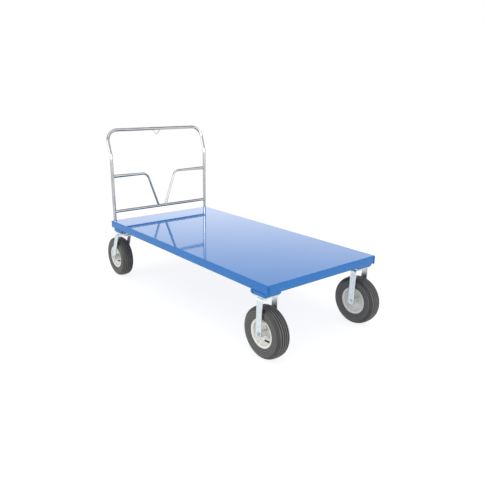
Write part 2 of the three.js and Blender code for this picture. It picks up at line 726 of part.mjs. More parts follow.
// ---- Assembly ---------------------------------------------------------------------------------

function buildDeck() {
  const deck = new THREE.Group();
  deck.add(part('deck_sheet', deckSheet(), blueEnamel));
  const channels = [
    ['front_caster_channel', FRONT_SHOE_X, SHOE_LENGTH],
    ['front_middle_channel', MIDDLE_CHANNEL_SPACING / 2, MIDDLE_CHANNEL_WIDTH],
    ['rear_middle_channel', -MIDDLE_CHANNEL_SPACING / 2, MIDDLE_CHANNEL_WIDTH],
    ['rear_caster_channel', REAR_SHOE_X, SHOE_LENGTH],
  ];
  for (const [name, x, width] of channels) {
    deck.add(part(name, crossChannel(x, width), blueEnamel));
  }
  deck.add(part('left_handle_socket', handleSocket(1), blueEnamel));
  deck.add(part('right_handle_socket', handleSocket(-1), blueEnamel));
  return deck;
}

function buildHandle() {
  const handle = new THREE.Group();
  handle.add(part('handle_tube', handleTube(), brightTube));
  handle.add(part('handle_lower_rail', lowerRail(), brightTube));
  handle.add(part('handle_left_brace', brace(1), brightTube));
  handle.add(part('handle_right_brace', brace(-1), brightTube));
  handle.add(part('handle_hang_loop', hangLoop(), brightTube));
  return handle;
}

function buildWheel(name, side) {
  const wheel = new THREE.Group();
  const valveAngle = VALVE_ANGLES[name];
  wheel.add(part(`${name}_tyre`, tyre(), tyreRubber));
  wheel.add(part(`${name}_rim`, rim(side, valveAngle), creamRim));
  wheel.add(part(`${name}_hub`, hub(side), greySteel));
  wheel.add(part(`${name}_valve_stem`, valveStem(side, valveAngle), valveRubber));
  wheel.add(part(`${name}_axle_bolt`, axleBolt(side), zincPlate));
  wheel.add(part(`${name}_axle_nut`, axleNut(side), zincPlate));
  wheel.add(part(`${name}_axle_sleeve`, axleSleeve(), greySteel));
  return wheel;
}

// end is +1 for a rigid caster at the front, -1 for a swivel caster at the rear.
function buildCaster(end, side) {
  const name = `${end > 0 ? 'front' : 'rear'}_${side > 0 ? 'left' : 'right'}`;
  const swivels = end < 0;
  const caster = new THREE.Group();
  caster.add(part(`${name}_caster_shoe`, casterShoe(end, side), blueEnamel));
  caster.add(part(`${name}_caster_plate`, casterPlate(swivels), zincPlate));
  caster.add(part(`${name}_fork`, swivels ? swivelFork() : rigidFork(), zincPlate));
  if (swivels) {
    caster.add(part(`${name}_swivel_race`, swivelRace(), zincPlate));
    caster.add(part(`${name}_kingpin`, kingpin(), greySteel));
  }
  const wheel = buildWheel(name, side);
  wheel.position.set(swivels ? -SWIVEL_TRAIL : RIGID_FORK_OFFSET, 0, TYRE_RADIUS);
  caster.add(wheel);
  caster.position.set(swivels ? REAR_SHOE_X : FRONT_SHOE_X, side * WHEEL_PLANE, 0);
  return caster;
}

const truck = new THREE.Group();
truck.add(buildDeck(), buildHandle());
for (const end of [1, -1]) {
  for (const side of [-1, 1]) truck.add(buildCaster(end, side));
}
truck.position.x = DECK_SHIFT;

export default truck;
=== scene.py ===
"""Steel platform truck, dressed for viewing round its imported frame.

The deck, handle, casters and wheels are surfaces worked out with numpy from the sizes below and from
the places that the frame gives. Metres throughout: +X to the rigid casters, +Y left, +Z up.
"""

import logging
import math
from dataclasses import dataclass, field
from enum import Enum

import bmesh
import bpy
import numpy as np
from mathutils import Matrix, Vector


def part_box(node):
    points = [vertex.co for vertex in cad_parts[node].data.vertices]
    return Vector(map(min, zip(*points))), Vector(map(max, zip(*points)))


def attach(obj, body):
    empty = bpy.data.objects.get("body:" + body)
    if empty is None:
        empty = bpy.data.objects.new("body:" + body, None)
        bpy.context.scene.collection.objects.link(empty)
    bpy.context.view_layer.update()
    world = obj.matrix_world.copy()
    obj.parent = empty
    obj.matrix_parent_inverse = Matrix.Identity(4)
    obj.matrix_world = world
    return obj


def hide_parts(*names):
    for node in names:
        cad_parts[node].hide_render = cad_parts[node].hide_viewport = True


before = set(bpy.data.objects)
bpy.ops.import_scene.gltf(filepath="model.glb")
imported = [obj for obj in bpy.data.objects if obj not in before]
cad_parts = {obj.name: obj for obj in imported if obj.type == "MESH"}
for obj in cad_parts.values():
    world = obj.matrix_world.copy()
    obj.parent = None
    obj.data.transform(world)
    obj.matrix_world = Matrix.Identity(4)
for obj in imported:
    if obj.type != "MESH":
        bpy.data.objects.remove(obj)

log = logging.getLogger("platform_truck")
# Point attribute that masks the tyre's painted highlight: proud ribs and rings painted paler, grooves left
# dark as painted shade.
RELIEF_HIGHLIGHT = "relief_highlight"

SHOE_WALL = 0.005
PLATE_BOLT_HOLE = 0.0045
PLATE_BOLT_SPREAD = (0.045, 0.038)  # from the plate's middle to each bolt

STRAIGHT = 1e-4  # a line that turns by fewer radians has no arc there
ONE_POINT = 1e-6  # points closer than this are one point
EDGE_STEPS = 2
FLAT_FACE_WEIGHT = 80
NOISE_SPAN = (0.3, 0.7)  # where nearly all of a noise's values lie
BEAD_SWELL = 0.12
BEAD_STEPS = 10
NUT_TOP = 0.97  # a nut's flat top over its flats
THREAD_SWING = 0.05  # half a thread's depth over the bolt's radius
THREAD_POINT = 0.8  # a bolt's very end over its radius
THREAD_STEPS = 6


# ---- Choices ------------------------------------------------------------------------------------


class Axis(Enum):
    """Row axis that a shape is turned about or given depth along."""

    X = 0
    Y = 1
    Z = 2


class Slot(Enum):
    """Material slots of the record."""

    BLUE_ENAMEL = "blue_enamel"
    BRIGHT_TUBE = "bright_tube"
    ZINC_PLATE = "zinc_plate"
    CREAM_RIM = "cream_rim"
    TYRE_RUBBER = "tyre_rubber"
    VALVE_RUBBER = "valve_rubber"
    GREY_STEEL = "grey_steel"


class Corner(Enum):
    """One of the truck's four casters, with its end (+1 front) and side (+1 left)."""

    FRONT_RIGHT = ("front_right", 1, -1)
    FRONT_LEFT = ("front_left", 1, 1)
    REAR_RIGHT = ("rear_right", -1, -1)
    REAR_LEFT = ("rear_left", -1, 1)

    @property
    def label(self) -> str:
        """Start of the corner's node names."""
        return self.value[0]

    @property
    def end(self) -> int:
        """+1 at the rigid end, -1 at the handle end."""
        return self.value[1]

    @property
    def side(self) -> int:
        """+1 on the left, -1 on the right."""
        return self.value[2]

    @property
    def fork_body(self) -> str:
        """Body that carries the corner's fork and axle."""
        return "chassis" if self.end > 0 else f"{self.label}_swivel"

    @property
    def wheel_body(self) -> str:
        """Body that turns on the corner's axle."""
        return f"{self.label}_wheel"


# ---- Surfaces -----------------------------------------------------------------------------------


@dataclass(frozen=True)
class Surface:
    """Corner points of a mesh, one row each, and the faces between them as lists of row numbers."""

    points: np.ndarray
    faces: list[list[int]]

    def moved(self, offset: np.ndarray) -> "Surface":
        """The same surface, shifted by an offset."""
        return Surface(self.points + np.asarray(offset, float), self.faces)

    def aimed(self, origin: np.ndarray, direction: np.ndarray) -> "Surface":
        """Turns a shape made along +Z to a direction and sets its foot on a point.

        Args:
            origin: where the shape's own origin goes.
            direction: where its +Z points afterwards.

        Returns:
            The turned surface: each point is origin plus its x, y and z along three square axes.
        """
        ahead = unit(np.asarray(direction, float))
        aside = unit(np.cross(np.eye(3)[np.argmin(np.abs(ahead))], ahead))
        axes = np.stack([aside, np.cross(ahead, aside), ahead])
        return Surface(self.points @ axes + np.asarray(origin, float), self.faces)


def unit(vector: np.ndarray) -> np.ndarray:
    """The vector, or each row of an array of vectors, at length one."""
    return vector / np.linalg.norm(vector, axis=-1, keepdims=True)


def together(*surfaces: Surface) -> Surface:
    """Several surfaces as one, each one's face numbers shifted past the points before it."""
    starts = np.cumsum([0] + [len(s.points) for s in surfaces[:-1]])
    faces = [[i + int(start) for i in face] for s, start in zip(surfaces, starts) for face in s.faces]
    return Surface(np.vstack([s.points for s in surfaces]), faces)


def grid(points: np.ndarray, wrap_rows: bool = False, wrap_columns: bool = False) -> Surface:
    """Joins a grid of points with four-sided faces.

    Args:
        points: array of rows, columns and three coordinates.
        wrap_rows: the last row joins the first.
        wrap_columns: the last column joins the first.

    Returns:
        The surface through the points.
    """
    rows, columns = points.shape[:2]
    row, column = np.meshgrid(
        np.arange(rows if wrap_rows else rows - 1),
        np.arange(columns if wrap_columns else columns - 1),
        indexing="ij",
    )
    below, beside = (row + 1) % rows, (column + 1) % columns
    corners = [row * columns + column, row * columns + beside, below * columns + beside]
    corners.append(below * columns + column)
    return Surface(points.reshape(-1, 3), np.stack(corners, -1).reshape(-1, 4).tolist())


def corner_arc(
    before: np.ndarray, corner: np.ndarray, after: np.ndarray, radius: float, steps: int
) -> tuple[np.ndarray, np.ndarray]:
    """Rounds one corner of a line.

    The arc starts radius times the tangent of half the turn before the corner, and each point of it
    is the start plus radius times the sine of its angle ahead and one less the cosine inwards.

    Args:
        before: point before the corner.
        corner: the corner itself.
        after: point after the corner.
        radius: radius of the arc; nought keeps the corner.
        steps: spans of the arc.

    Returns:
        The arc's points and the headings there.
    """
    arriving, leaving = unit(corner - before), unit(after - corner)
    turn = math.acos(float(np.clip(arriving @ leaving, -1.0, 1.0)))
    if radius <= 0 or turn < STRAIGHT:
        return corner[None, :], unit(arriving + leaving)[None, :]
    inward = unit(leaving - (leaving @ arriving) * arriving)
    angle = np.linspace(0.0, turn, steps + 1)[:, None]
    start = corner - arriving * radius * math.tan(turn / 2)
    points = start + radius * (np.sin(angle) * arriving + (1 - np.cos(angle)) * inward)
    return points, np.cos(angle) * arriving + np.sin(angle) * inward


def rounded(corners: list | np.ndarray, radii: float | list[float], steps: int = 5) -> np.ndarray:
    """A closed outline with an arc at each corner.

    Args:
        corners: the outline's corners in order.
        radii: one radius for all, or one for each corner.
        steps: spans of each arc.

    Returns:
        The outline's points.
    """
    places = np.asarray(corners, float)
    sizes = np.broadcast_to(radii, len(places))
    turns = zip(np.roll(places, 1, 0), places, np.roll(places, -1, 0), sizes)
    return np.vstack([corner_arc(b, c, a, float(r), steps)[0] for b, c, a, r in turns])


def bent_line(
    corners: list | np.ndarray, radii: list[float], steps: int = 20
) -> tuple[np.ndarray, np.ndarray]:
    """Centre line of a bent bar: straight runs with an arc at each inner corner.

    Args:
        corners: the first end, the corners and the last end.
        radii: radius at each inner corner.
        steps: spans of each arc.

    Returns:
        The stations and the headings there.
    """
    places = np.asarray(corners, float)
    ends = unit(places[1] - places[0]), unit(places[-1] - places[-2])
    bends = [
        corner_arc(before, corner, after, radius, steps)
        for before, corner, after, radius in zip(places, places[1:], places[2:], radii)
    ]
    points = np.vstack([places[:1], *[b[0] for b in bends], places[-1:]])
    return points, np.vstack([ends[0][None], *[b[1] for b in bends], ends[1][None]])


def prism(outline: np.ndarray, low: float, high: float, axis: Axis) -> Surface:
    """Straight walls between two copies of a flat outline, closed by a flat face at each end.

    Args:
        outline: two coordinates a row, in the order of the two axes that aren't the depth's.
        low: one end along the axis.
        high: the other end.
        axis: the axis of depth.

    Returns:
        The closed surface.
    """
    count = len(outline)
    ends = [np.insert(outline, axis.value, level, axis=1) for level in (low, high)]
    here = np.arange(count)
    beside = (here + 1) % count
    walls = np.stack([here, beside, beside + count, here + count], 1).tolist()
    caps = [here[::-1].tolist(), (here + count).tolist()]
    return Surface(np.vstack(ends), walls + caps)


def turned(profile: np.ndarray, axis: Axis, steps: int = 96, closed: bool = True) -> Surface:
    """Turns a profile round an axis: each point is radius times cosine and sine of the angle.

    Args:
        profile: radius and height a row; it closes on itself, or starts and ends on the axis.
        axis: Y or Z, the axis of turning and of height.
        steps: columns round the axis.
        closed: whether the profile's last point joins its first.

    Returns:
        The turned surface.
    """
    angle = np.linspace(0.0, 2 * math.pi, steps, endpoint=False)
    radius, height = np.asarray(profile, float).T
    across = radius[:, None] * np.cos(angle)
    other = radius[:, None] * np.sin(angle)
    level = np.broadcast_to(height[:, None], across.shape)
    order = (across, level, other) if axis is Axis.Y else (across, other, level)
    return grid(np.stack(order, -1), wrap_rows=closed, wrap_columns=True)


def rectangle(x0: float, y0: float, x1: float, y1: float) -> list[tuple[float, float]]:
    """Corners of a rectangle, counted round from the first corner given to the opposite one."""
    return [(x0, y0), (x1, y0), (x1, y1), (x0, y1)]


def rod(radius: float, low: float, high: float, axis: Axis = Axis.Z, steps: int = 32) -> Surface:
    """A plain round bar from one level to another, also used as a drill."""
    profile = np.array([(0, low), (radius, low), (radius, high), (0, high)])
    return turned(profile, axis, steps, closed=False)


def capped(sections: np.ndarray) -> Surface:
    """Joins closed sections into a tube, and closes it with its first and last as flat faces."""
    shell, count = grid(sections, wrap_columns=True), sections.shape[1]
    last = (len(sections) - 1) * count
    caps = [list(range(count)), list(range(last + count - 1, last - 1, -1))]
    return Surface(shell.points, shell.faces + caps)


def rings(
    line: np.ndarray, headings: np.ndarray, radius: float | np.ndarray, upright: np.ndarray, steps: int
) -> np.ndarray:
    """Circles square to a line: station plus radius times cosine and sine along two square axes.

    Args:
        line: stations of the centre line.
        headings: the line's direction at each.
        radius: one radius, or one for each station.
        upright: a direction that the line never runs along.
        steps: points round each circle.

    Returns:
        Array of stations, steps and three coordinates.
    """
    aside = unit(np.cross(headings, np.asarray(upright, float)))[:, None, :]
    over = np.cross(headings[:, None, :], aside)
    angle = np.linspace(0.0, 2 * math.pi, steps, endpoint=False)[None, :, None]
    size = np.broadcast_to(radius, len(line))[:, None, None]
    return line[:, None, :] + size * (np.cos(angle) * aside + np.sin(angle) * over)


def hollow_tube(outer: np.ndarray, inner: np.ndarray) -> Surface:
    """A tube with a wall: out along its outer circles and back along its inner ones."""
    return grid(np.concatenate([outer, inner[::-1]]), wrap_rows=True, wrap_columns=True)


def coped(
    ring: np.ndarray, heading: np.ndarray, centre: np.ndarray, along: tuple, radius: float
) -> np.ndarray:
    """Carries a tube's end circle onward until each point meets another tube.

    With each point and the heading taken square to the other tube's axis, the way s to go solves
    |point + s heading| = radius, and the nearer of the two answers is the one that is met first.

    Args:
        ring: points of the end circle.
        heading: direction towards the other tube.
        centre: a point on the other tube's axis.
        along: that axis's direction.
        radius: that tube's radius.

    Returns:
        The points on the other tube.
    """
    axis = unit(np.asarray(along, float))
    reach = ring - centre
    reach = reach - (reach @ axis)[:, None] * axis
    square = heading - (heading @ axis) * axis
    half = reach @ square
    size = square @ square
    root = np.sqrt(np.maximum(half**2 - size * ((reach**2).sum(1) - radius**2), 0.0))
    return ring + ((-half - root) / size)[:, None] * heading


def weld_bead(seam: np.ndarray, ahead: np.ndarray, radius: float, ripples: int) -> Surface:
    """A bead round a closed seam: a small circle carried along it, its radius rippling slightly.

    Args:
        seam: points of the seam, in order.
        ahead: direction of the tube that ends there.
        radius: mean radius of the bead.
        ripples: swellings round the seam.

    Returns:
        The closed bead.
    """
    across = seam - seam.mean(0)
    outward = unit(across - (across @ ahead)[:, None] * ahead)
    heading = unit(np.roll(seam, -1, 0) - np.roll(seam, 1, 0))
    over = unit(np.cross(heading, outward))
    away = np.cross(over, heading)
    turn = np.linspace(0.0, 2 * math.pi, BEAD_STEPS, endpoint=False)[None, :, None]
    way = np.linspace(0, 2 * math.pi, len(seam), endpoint=False)
    swell = 1 + BEAD_SWELL * np.sin(ripples * way)
    size = (radius * swell)[:, None, None]
    circles = seam[:, None, :] + size * (
        np.cos(turn) * away[:, None, :] + np.sin(turn) * over[:, None, :]
    )
    return grid(circles, wrap_rows=True, wrap_columns=True)


def hex_block(flats: float, height: float, steps: int = 72) -> Surface:
    """A hexagon nut or bolt head along +Z with a chamfered top.

    At each angle the radius is the hexagon's, half the flats over the cosine of the angle from the
    nearest flat's middle, and near the top no more than a cone's that leans in at thirty degrees.

    Args:
        flats: size across the flats.
        height: height of the block.
        steps: points round it.

    Returns:
        The closed block.
    """
    angle = np.linspace(0.0, 2 * math.pi, steps, endpoint=False)
    sector = math.pi / 3
    hexagon = flats / 2 / np.cos(np.mod(angle, sector) - sector / 2)
    chamfer = flats * (1 / math.cos(sector / 2) - 1) / 2 * math.tan(sector / 2)
    level = np.array([0, 0, height - chamfer, height - chamfer / 2, height - chamfer / 4, height, height])
    cone = flats / 2 * NUT_TOP + (height - level) / math.tan(sector / 2)
    limit = np.where(level < height - chamfer, np.inf, cone)
    radius = np.minimum(hexagon[None, :], limit[:, None])
    radius[[0, -1]] = 0.0
    points = np.stack([radius * np.cos(angle), radius * np.sin(angle)], -1)
    heights = np.broadcast_to(level[:, None, None], (*radius.shape, 1))
    return grid(np.concatenate([points, heights], -1), wrap_columns=True)


def washer(bore: float, radius: float, thickness: float) -> Surface:
    """A flat washer along +Z with its edges just broken."""
    profile = [(bore, 0), (radius, 0), (radius, thickness), (bore, thickness)]
    return turned(rounded(profile, thickness / 5, 2), Axis.Z, 48)


def threaded_end(radius: float, length: float, pitch: float) -> Surface:
    """A bolt's end along +Z: the radius swings between crest and root once a pitch."""
    turns = max(2, int(length / pitch))
    level = np.linspace(0.0, length - pitch / 2, THREAD_STEPS * turns + 1)
    swing = radius * (1 - THREAD_SWING * (1 - np.cos(2 * math.pi * level / pitch)))
    point = [(radius * THREAD_POINT, length), (0, length)]
    profile = np.vstack([[(0, 0)], np.stack([swing, level], 1), point])
    return turned(profile, Axis.Z, 24, closed=False)


# ---- Finishes -----------------------------------------------------------------------------------


class Wiring:
    """Short ways to add and wire nodes in one node tree."""

    def __init__(self, tree: bpy.types.NodeTree) -> None:
        """Takes the tree to work in."""
        self.tree = tree

    def node(self, kind: str, inputs: dict | None = None, **settings: object) -> bpy.types.Node:
        """Adds a node.

        Args:
            kind: the node's type name.
            inputs: value or output socket for each named or numbered input.
            settings: properties of the node itself.

        Returns:
            The new node.
        """
        made = self.tree.nodes.new(kind)
        for name, value in settings.items():
            setattr(made, name, value)
        for name, value in (inputs or {}).items():
            self.feed(made.inputs[name], value)
        return made

    def feed(self, socket: bpy.types.NodeSocket, value: object) -> None:
        """Wires an output to an input, or sets the input's own value."""
        if isinstance(value, bpy.types.NodeSocket):
            self.tree.links.new(value, socket)
        else:
            socket.default_value = value

    def smooth_step(self, value: bpy.types.NodeSocket, span: tuple[float, float]) -> bpy.types.NodeSocket:
        """Nought before a span, one after it and smooth within."""
        inputs = {"Value": value, "From Min": span[0], "From Max": span[1]}
        return self.node("ShaderNodeMapRange", inputs, interpolation_type="SMOOTHSTEP").outputs[0]

    def choose(self, factor: bpy.types.NodeSocket, no: object, yes: object) -> bpy.types.NodeSocket:
        """Takes one number or socket where a factor is nought and the other where it is one."""
        return self.node("ShaderNodeMix", {0: factor, 2: no, 3: yes}).outputs[0]

    def background_rays(self) -> bpy.types.NodeSocket:
        """One for the rays that show the background: from the camera, off gloss or through glass.

        Returns:
            The socket with nought or one.
        """
        path = self.node("ShaderNodeLightPath").outputs
        total = path["Is Camera Ray"]
        for name in ("Is Glossy Ray", "Is Transmission Ray"):
            total = self.node("ShaderNodeMath", {0: total, 1: path[name]}, operation="MAXIMUM").outputs[0]
        return total


class NodeSheet(Wiring):
    """Node tree of one material, with its shader, noises, colours and bumps."""

    def __init__(self, name: str) -> None:
        """Starts a material of that name with a lone shader."""
        self.material = bpy.data.materials.new(name)
        self.material.use_nodes = True
        super().__init__(self.material.node_tree)
        self.shader = self.tree.nodes["Principled BSDF"]
        self.place = self.node("ShaderNodeTexCoord").outputs["Object"]

    def set(self, **inputs: object) -> None:
        """Feeds the shader's inputs, named with underscores for spaces."""
        for name, value in inputs.items():
            self.feed(self.shader.inputs[name.replace("_", " ")], value)

    def noise(self, scale: float, detail: float = 3.0, stretch: tuple = (1, 1, 1)) -> bpy.types.NodeSocket:
        """Noise on the piece's own coordinates, drawn out by a stretch along each axis."""
        place = self.node("ShaderNodeMapping", {"Vector": self.place, "Scale": stretch}).outputs[0]
        inputs = {"Vector": place, "Scale": scale, "Detail": detail}
        return self.node("ShaderNodeTexNoise", inputs).outputs[0]

    def between(self, factor: bpy.types.NodeSocket, low: float, high: float) -> bpy.types.NodeSocket:
        """Noise carried from its usual span to the span low to high."""
        start, finish = NOISE_SPAN
        inputs = {"Value": factor, "From Min": start, "From Max": finish, "To Min": low, "To Max": high}
        return self.node("ShaderNodeMapRange", inputs).outputs[0]

    def blend(self, factor: bpy.types.NodeSocket, first: tuple, second: tuple) -> bpy.types.NodeSocket:
        """Colour between two, by a factor."""
        stops = self.node("ShaderNodeValToRGB", {"Fac": factor})
        for stop, position, colour in zip(stops.color_ramp.elements, NOISE_SPAN, (first, second)):
            stop.position, stop.color = position, (*colour, 1)
        return stops.outputs["Color"]

    def bump(self, height: bpy.types.NodeSocket, distance: float, strength: float = 1.0) -> None:
        """Raises the surface's shading by a height, stacked on any bump already there."""
        inputs = {"Height": height, "Distance": distance, "Strength": strength}
        under = self.shader.inputs["Normal"].links
        if under:
            inputs["Normal"] = under[0].from_socket
        self.set(Normal=self.node("ShaderNodeBump", inputs).outputs[0])


@dataclass(frozen=True)
class Finish:
    """How one kind of surface looks.

    Attributes:
        name: the material's name.
        slot: the record's slot for it.
        deep: its darker colour.
        light: its lighter colour.
        smooth: lowest roughness.
        rough: highest roughness.
    """

    name: str
    slot: Slot
    deep: tuple[float, float, float]
    light: tuple[float, float, float]
    smooth: float
    rough: float

    def material(self) -> bpy.types.Material:
        """The finish's material, made when it is first asked for."""
        known = bpy.data.materials.get(self.name)
        if known:
            return known
        sheet = NodeSheet(self.name)
        self.paint(sheet)
        return sheet.material

    def paint(self, sheet: NodeSheet) -> None:
        """Wires the finish into a material's node sheet."""
        raise NotImplementedError


@dataclass(frozen=True)
class Enamel(Finish):
    """Baked gloss enamel: cloudy colour under a glossy surface with faint orange peel."""

    gloss: float = 1.4
    peel: float = 0.00002
    clouds: tuple[float, float] = (2.6, 4.0)
    haze: tuple[float, float] = (9.0, 5.0)
    dimples: tuple[float, float] = (420.0, 1.0)

    def paint(self, sheet: NodeSheet) -> None:
        """Colour clouds, roughness clouds and a fine bump under a glossy surface."""
        sheet.set(
            Base_Color=sheet.blend(sheet.noise(*self.clouds), self.deep, self.light),
            Roughness=sheet.between(sheet.noise(*self.haze), self.smooth, self.rough),
            IOR=self.gloss,
        )
        sheet.bump(sheet.noise(*self.dimples), self.peel)


@dataclass(frozen=True)
class BrightPlate(Finish):
    """Bright plated tube: near mirror, with a very fine grain and hazy patches."""

    grain: float = 0.000003
    haze: tuple[float, float] = (14.0, 5.0)
    grit: tuple[float, float] = (900.0, 2.0)

    def paint(self, sheet: NodeSheet) -> None:
        """Metal with hazy roughness and a very fine grain."""
        haze = sheet.noise(*self.haze)
        sheet.set(
            Metallic=1.0,
            Base_Color=sheet.blend(haze, self.deep, self.light),
            Roughness=sheet.between(haze, self.smooth, self.rough),
        )
        sheet.bump(sheet.noise(*self.grit), self.grain)


@dataclass(frozen=True)
class ZincPlate(Finish):
    """Clear zinc plate: soft metal sheen with spangles and faint stains."""

    grain: float = 0.00004
    metal: float = 0.9
    spangle: float = 90.0
    clouds: tuple[float, float] = (24.0, 6.0)
    lift: float = 0.3
    stains: tuple[float, float] = (30.0, 6.0)
    grit: tuple[float, float] = (300.0, 4.0)

    def paint(self, sheet: NodeSheet) -> None:
        """Spangled colour, cloudy roughness and a grained bump."""
        cells = sheet.node("ShaderNodeTexVoronoi", {"Vector": sheet.place, "Scale": self.spangle})
        inputs = {0: cells.outputs["Distance"], 1: sheet.noise(*self.clouds)}
        spangle = sheet.node("ShaderNodeMath", inputs, operation="MULTIPLY")
        factor = sheet.node("ShaderNodeMath", {0: spangle.outputs[0], 1: self.lift}, operation="ADD")
        sheet.set(
            Metallic=self.metal,
            Base_Color=sheet.blend(factor.outputs[0], self.deep, self.light),
            Roughness=sheet.between(sheet.noise(*self.stains), self.smooth, self.rough),
        )
        sheet.bump(sheet.noise(*self.grit), self.grain)


@dataclass(frozen=True)
class PlainSteel(Finish):
    """Machined or turned steel with a light film of oil or a dull plate."""

    metal: float = 1.0
    grain: float = 0.00003
    clouds: tuple[float, float] = (40.0, 5.0)
    marks: tuple[float, float, tuple] = (700.0, 2.0, (1.0, 6.0, 1.0))

    def paint(self, sheet: NodeSheet) -> None:
        """Cloudy metal with fine tool marks."""
        cloud = sheet.noise(*self.clouds)
        sheet.set(
            Metallic=self.metal,
            Base_Color=sheet.blend(cloud, self.deep, self.light),
            Roughness=sheet.between(cloud, self.smooth, self.rough),
        )
        sheet.bump(sheet.noise(*self.marks), self.grain)


@dataclass(frozen=True)
class Rubber(Finish):
    """Black rubber gone slightly grey, with a painted highlight that makes it paler where its ribs and
    rings stand proud, so the grooves read as painted shade, and a fine mould grain.
    """

    grain: float = 0.00015
    # paler grey painted on proud ribs and rings as a painted highlight
    worn: tuple[float, float, float] = (0.17, 0.167, 0.166)
    shine: float = 0.4
    dust: tuple[float, float] = (22.0, 6.0)
    pits: tuple[float, float] = (160.0, 4.0)
    grit: tuple[float, float] = (900.0, 2.0)

    def paint(self, sheet: NodeSheet) -> None:
        """Dusty colour blended to a paler painted highlight where the surface stands proud, with the
        grooves left dark as painted shade, and two sizes of grain.
        """
        dust = sheet.noise(*self.dust)
        # Painted highlight: the tyre's mask of proud ribs and rings, nought in the grooves and one on a
        # ring.
        relief_highlight = sheet.node("ShaderNodeAttribute", attribute_name=RELIEF_HIGHLIGHT).outputs["Fac"]
        colour = sheet.node(
            "ShaderNodeMix",
            {"Factor": relief_highlight, 6: sheet.blend(dust, self.deep, self.light), 7: (*self.worn, 1)},
            data_type="RGBA",
        )
        sheet.set(
            Base_Color=colour.outputs[2],
            Roughness=sheet.between(dust, self.smooth, self.rough),
            Specular_IOR_Level=self.shine,
        )
        sheet.bump(sheet.noise(*self.pits), self.grain)
        sheet.bump(sheet.noise(*self.grit), self.grain / 4)


BLUE_ENAMEL = Enamel(
    "gloss_enamel", Slot.BLUE_ENAMEL, (0.014, 0.172, 0.525), (0.018, 0.186, 0.555), 0.03, 0.06
)
RIM_ENAMEL = Enamel(
    "cream_enamel", Slot.CREAM_RIM, (0.80, 0.80, 0.76), (0.88, 0.88, 0.84), 0.3, 0.45, 1.45, 0.00004
)
BRIGHT_TUBE = BrightPlate(
    "bright_plate", Slot.BRIGHT_TUBE, (0.41, 0.41, 0.41), (0.50, 0.50, 0.50), 0.1, 0.18
)
ZINC = ZincPlate("clear_zinc", Slot.ZINC_PLATE, (0.56, 0.64, 0.66), (0.70, 0.76, 0.78), 0.28, 0.45)
STEEL = PlainSteel("turned_steel", Slot.GREY_STEEL, (0.50, 0.51, 0.51), (0.60, 0.61, 0.61), 0.35, 0.5)
HUB = PlainSteel("dull_plate", Slot.GREY_STEEL, (0.70, 0.71, 0.68), (0.80, 0.81, 0.78), 0.45, 0.6, 0.45)
TYRE = Rubber("tyre_casing", Slot.TYRE_RUBBER, (0.038, 0.037, 0.037), (0.056, 0.055, 0.054), 0.36, 0.52)
VALVE = Rubber("valve_casing", Slot.VALVE_RUBBER, (0.008, 0.008, 0.008), (0.014, 0.014, 0.014), 0.45, 0.6)


# ---- Making pieces ------------------------------------------------------------------------------


def shut(mesh: bpy.types.Mesh, sharp: float) -> None:
    """Merges doubled points, turns all faces outwards and smooths all but the sharp edges.

    Args:
        mesh: the mesh to finish.
        sharp: edges that turn by more degrees than this stay crisp.
    """
    work = bmesh.new()
    work.from_mesh(mesh)
    bmesh.ops.remove_doubles(work, verts=work.verts, dist=ONE_POINT)
    bmesh.ops.recalc_face_normals(work, faces=work.faces)
    work.to_mesh(mesh)
    work.free()
    mesh.shade_smooth()
    mesh.set_sharp_from_angle(angle=math.radians(sharp))


def cut_away(piece: bpy.types.Object, tool: Surface, sharp: float) -> None:
    """Takes a closed tool's shape out of a piece for good.

    Args:
        piece: the piece to cut.
        tool: closed surface or surfaces to remove.
        sharp: as for shut.
    """
    mesh = bpy.data.meshes.new("tool")
    mesh.from_pydata(tool.points, [], tool.faces)
    shut(mesh, sharp)
    cutter = bpy.data.objects.new("tool", mesh)
    bpy.context.scene.collection.objects.link(cutter)
    modifier = piece.modifiers.new("cut", "BOOLEAN")
    modifier.operation, modifier.solver, modifier.object = "DIFFERENCE", "EXACT", cutter
    modifier.use_self = True
    whole = piece.evaluated_get(bpy.context.evaluated_depsgraph_get())
    result = bpy.data.meshes.new_from_object(whole)
    piece.modifiers.clear()
    piece.data = result
    bpy.data.objects.remove(cutter)
    shut(piece.data, sharp)


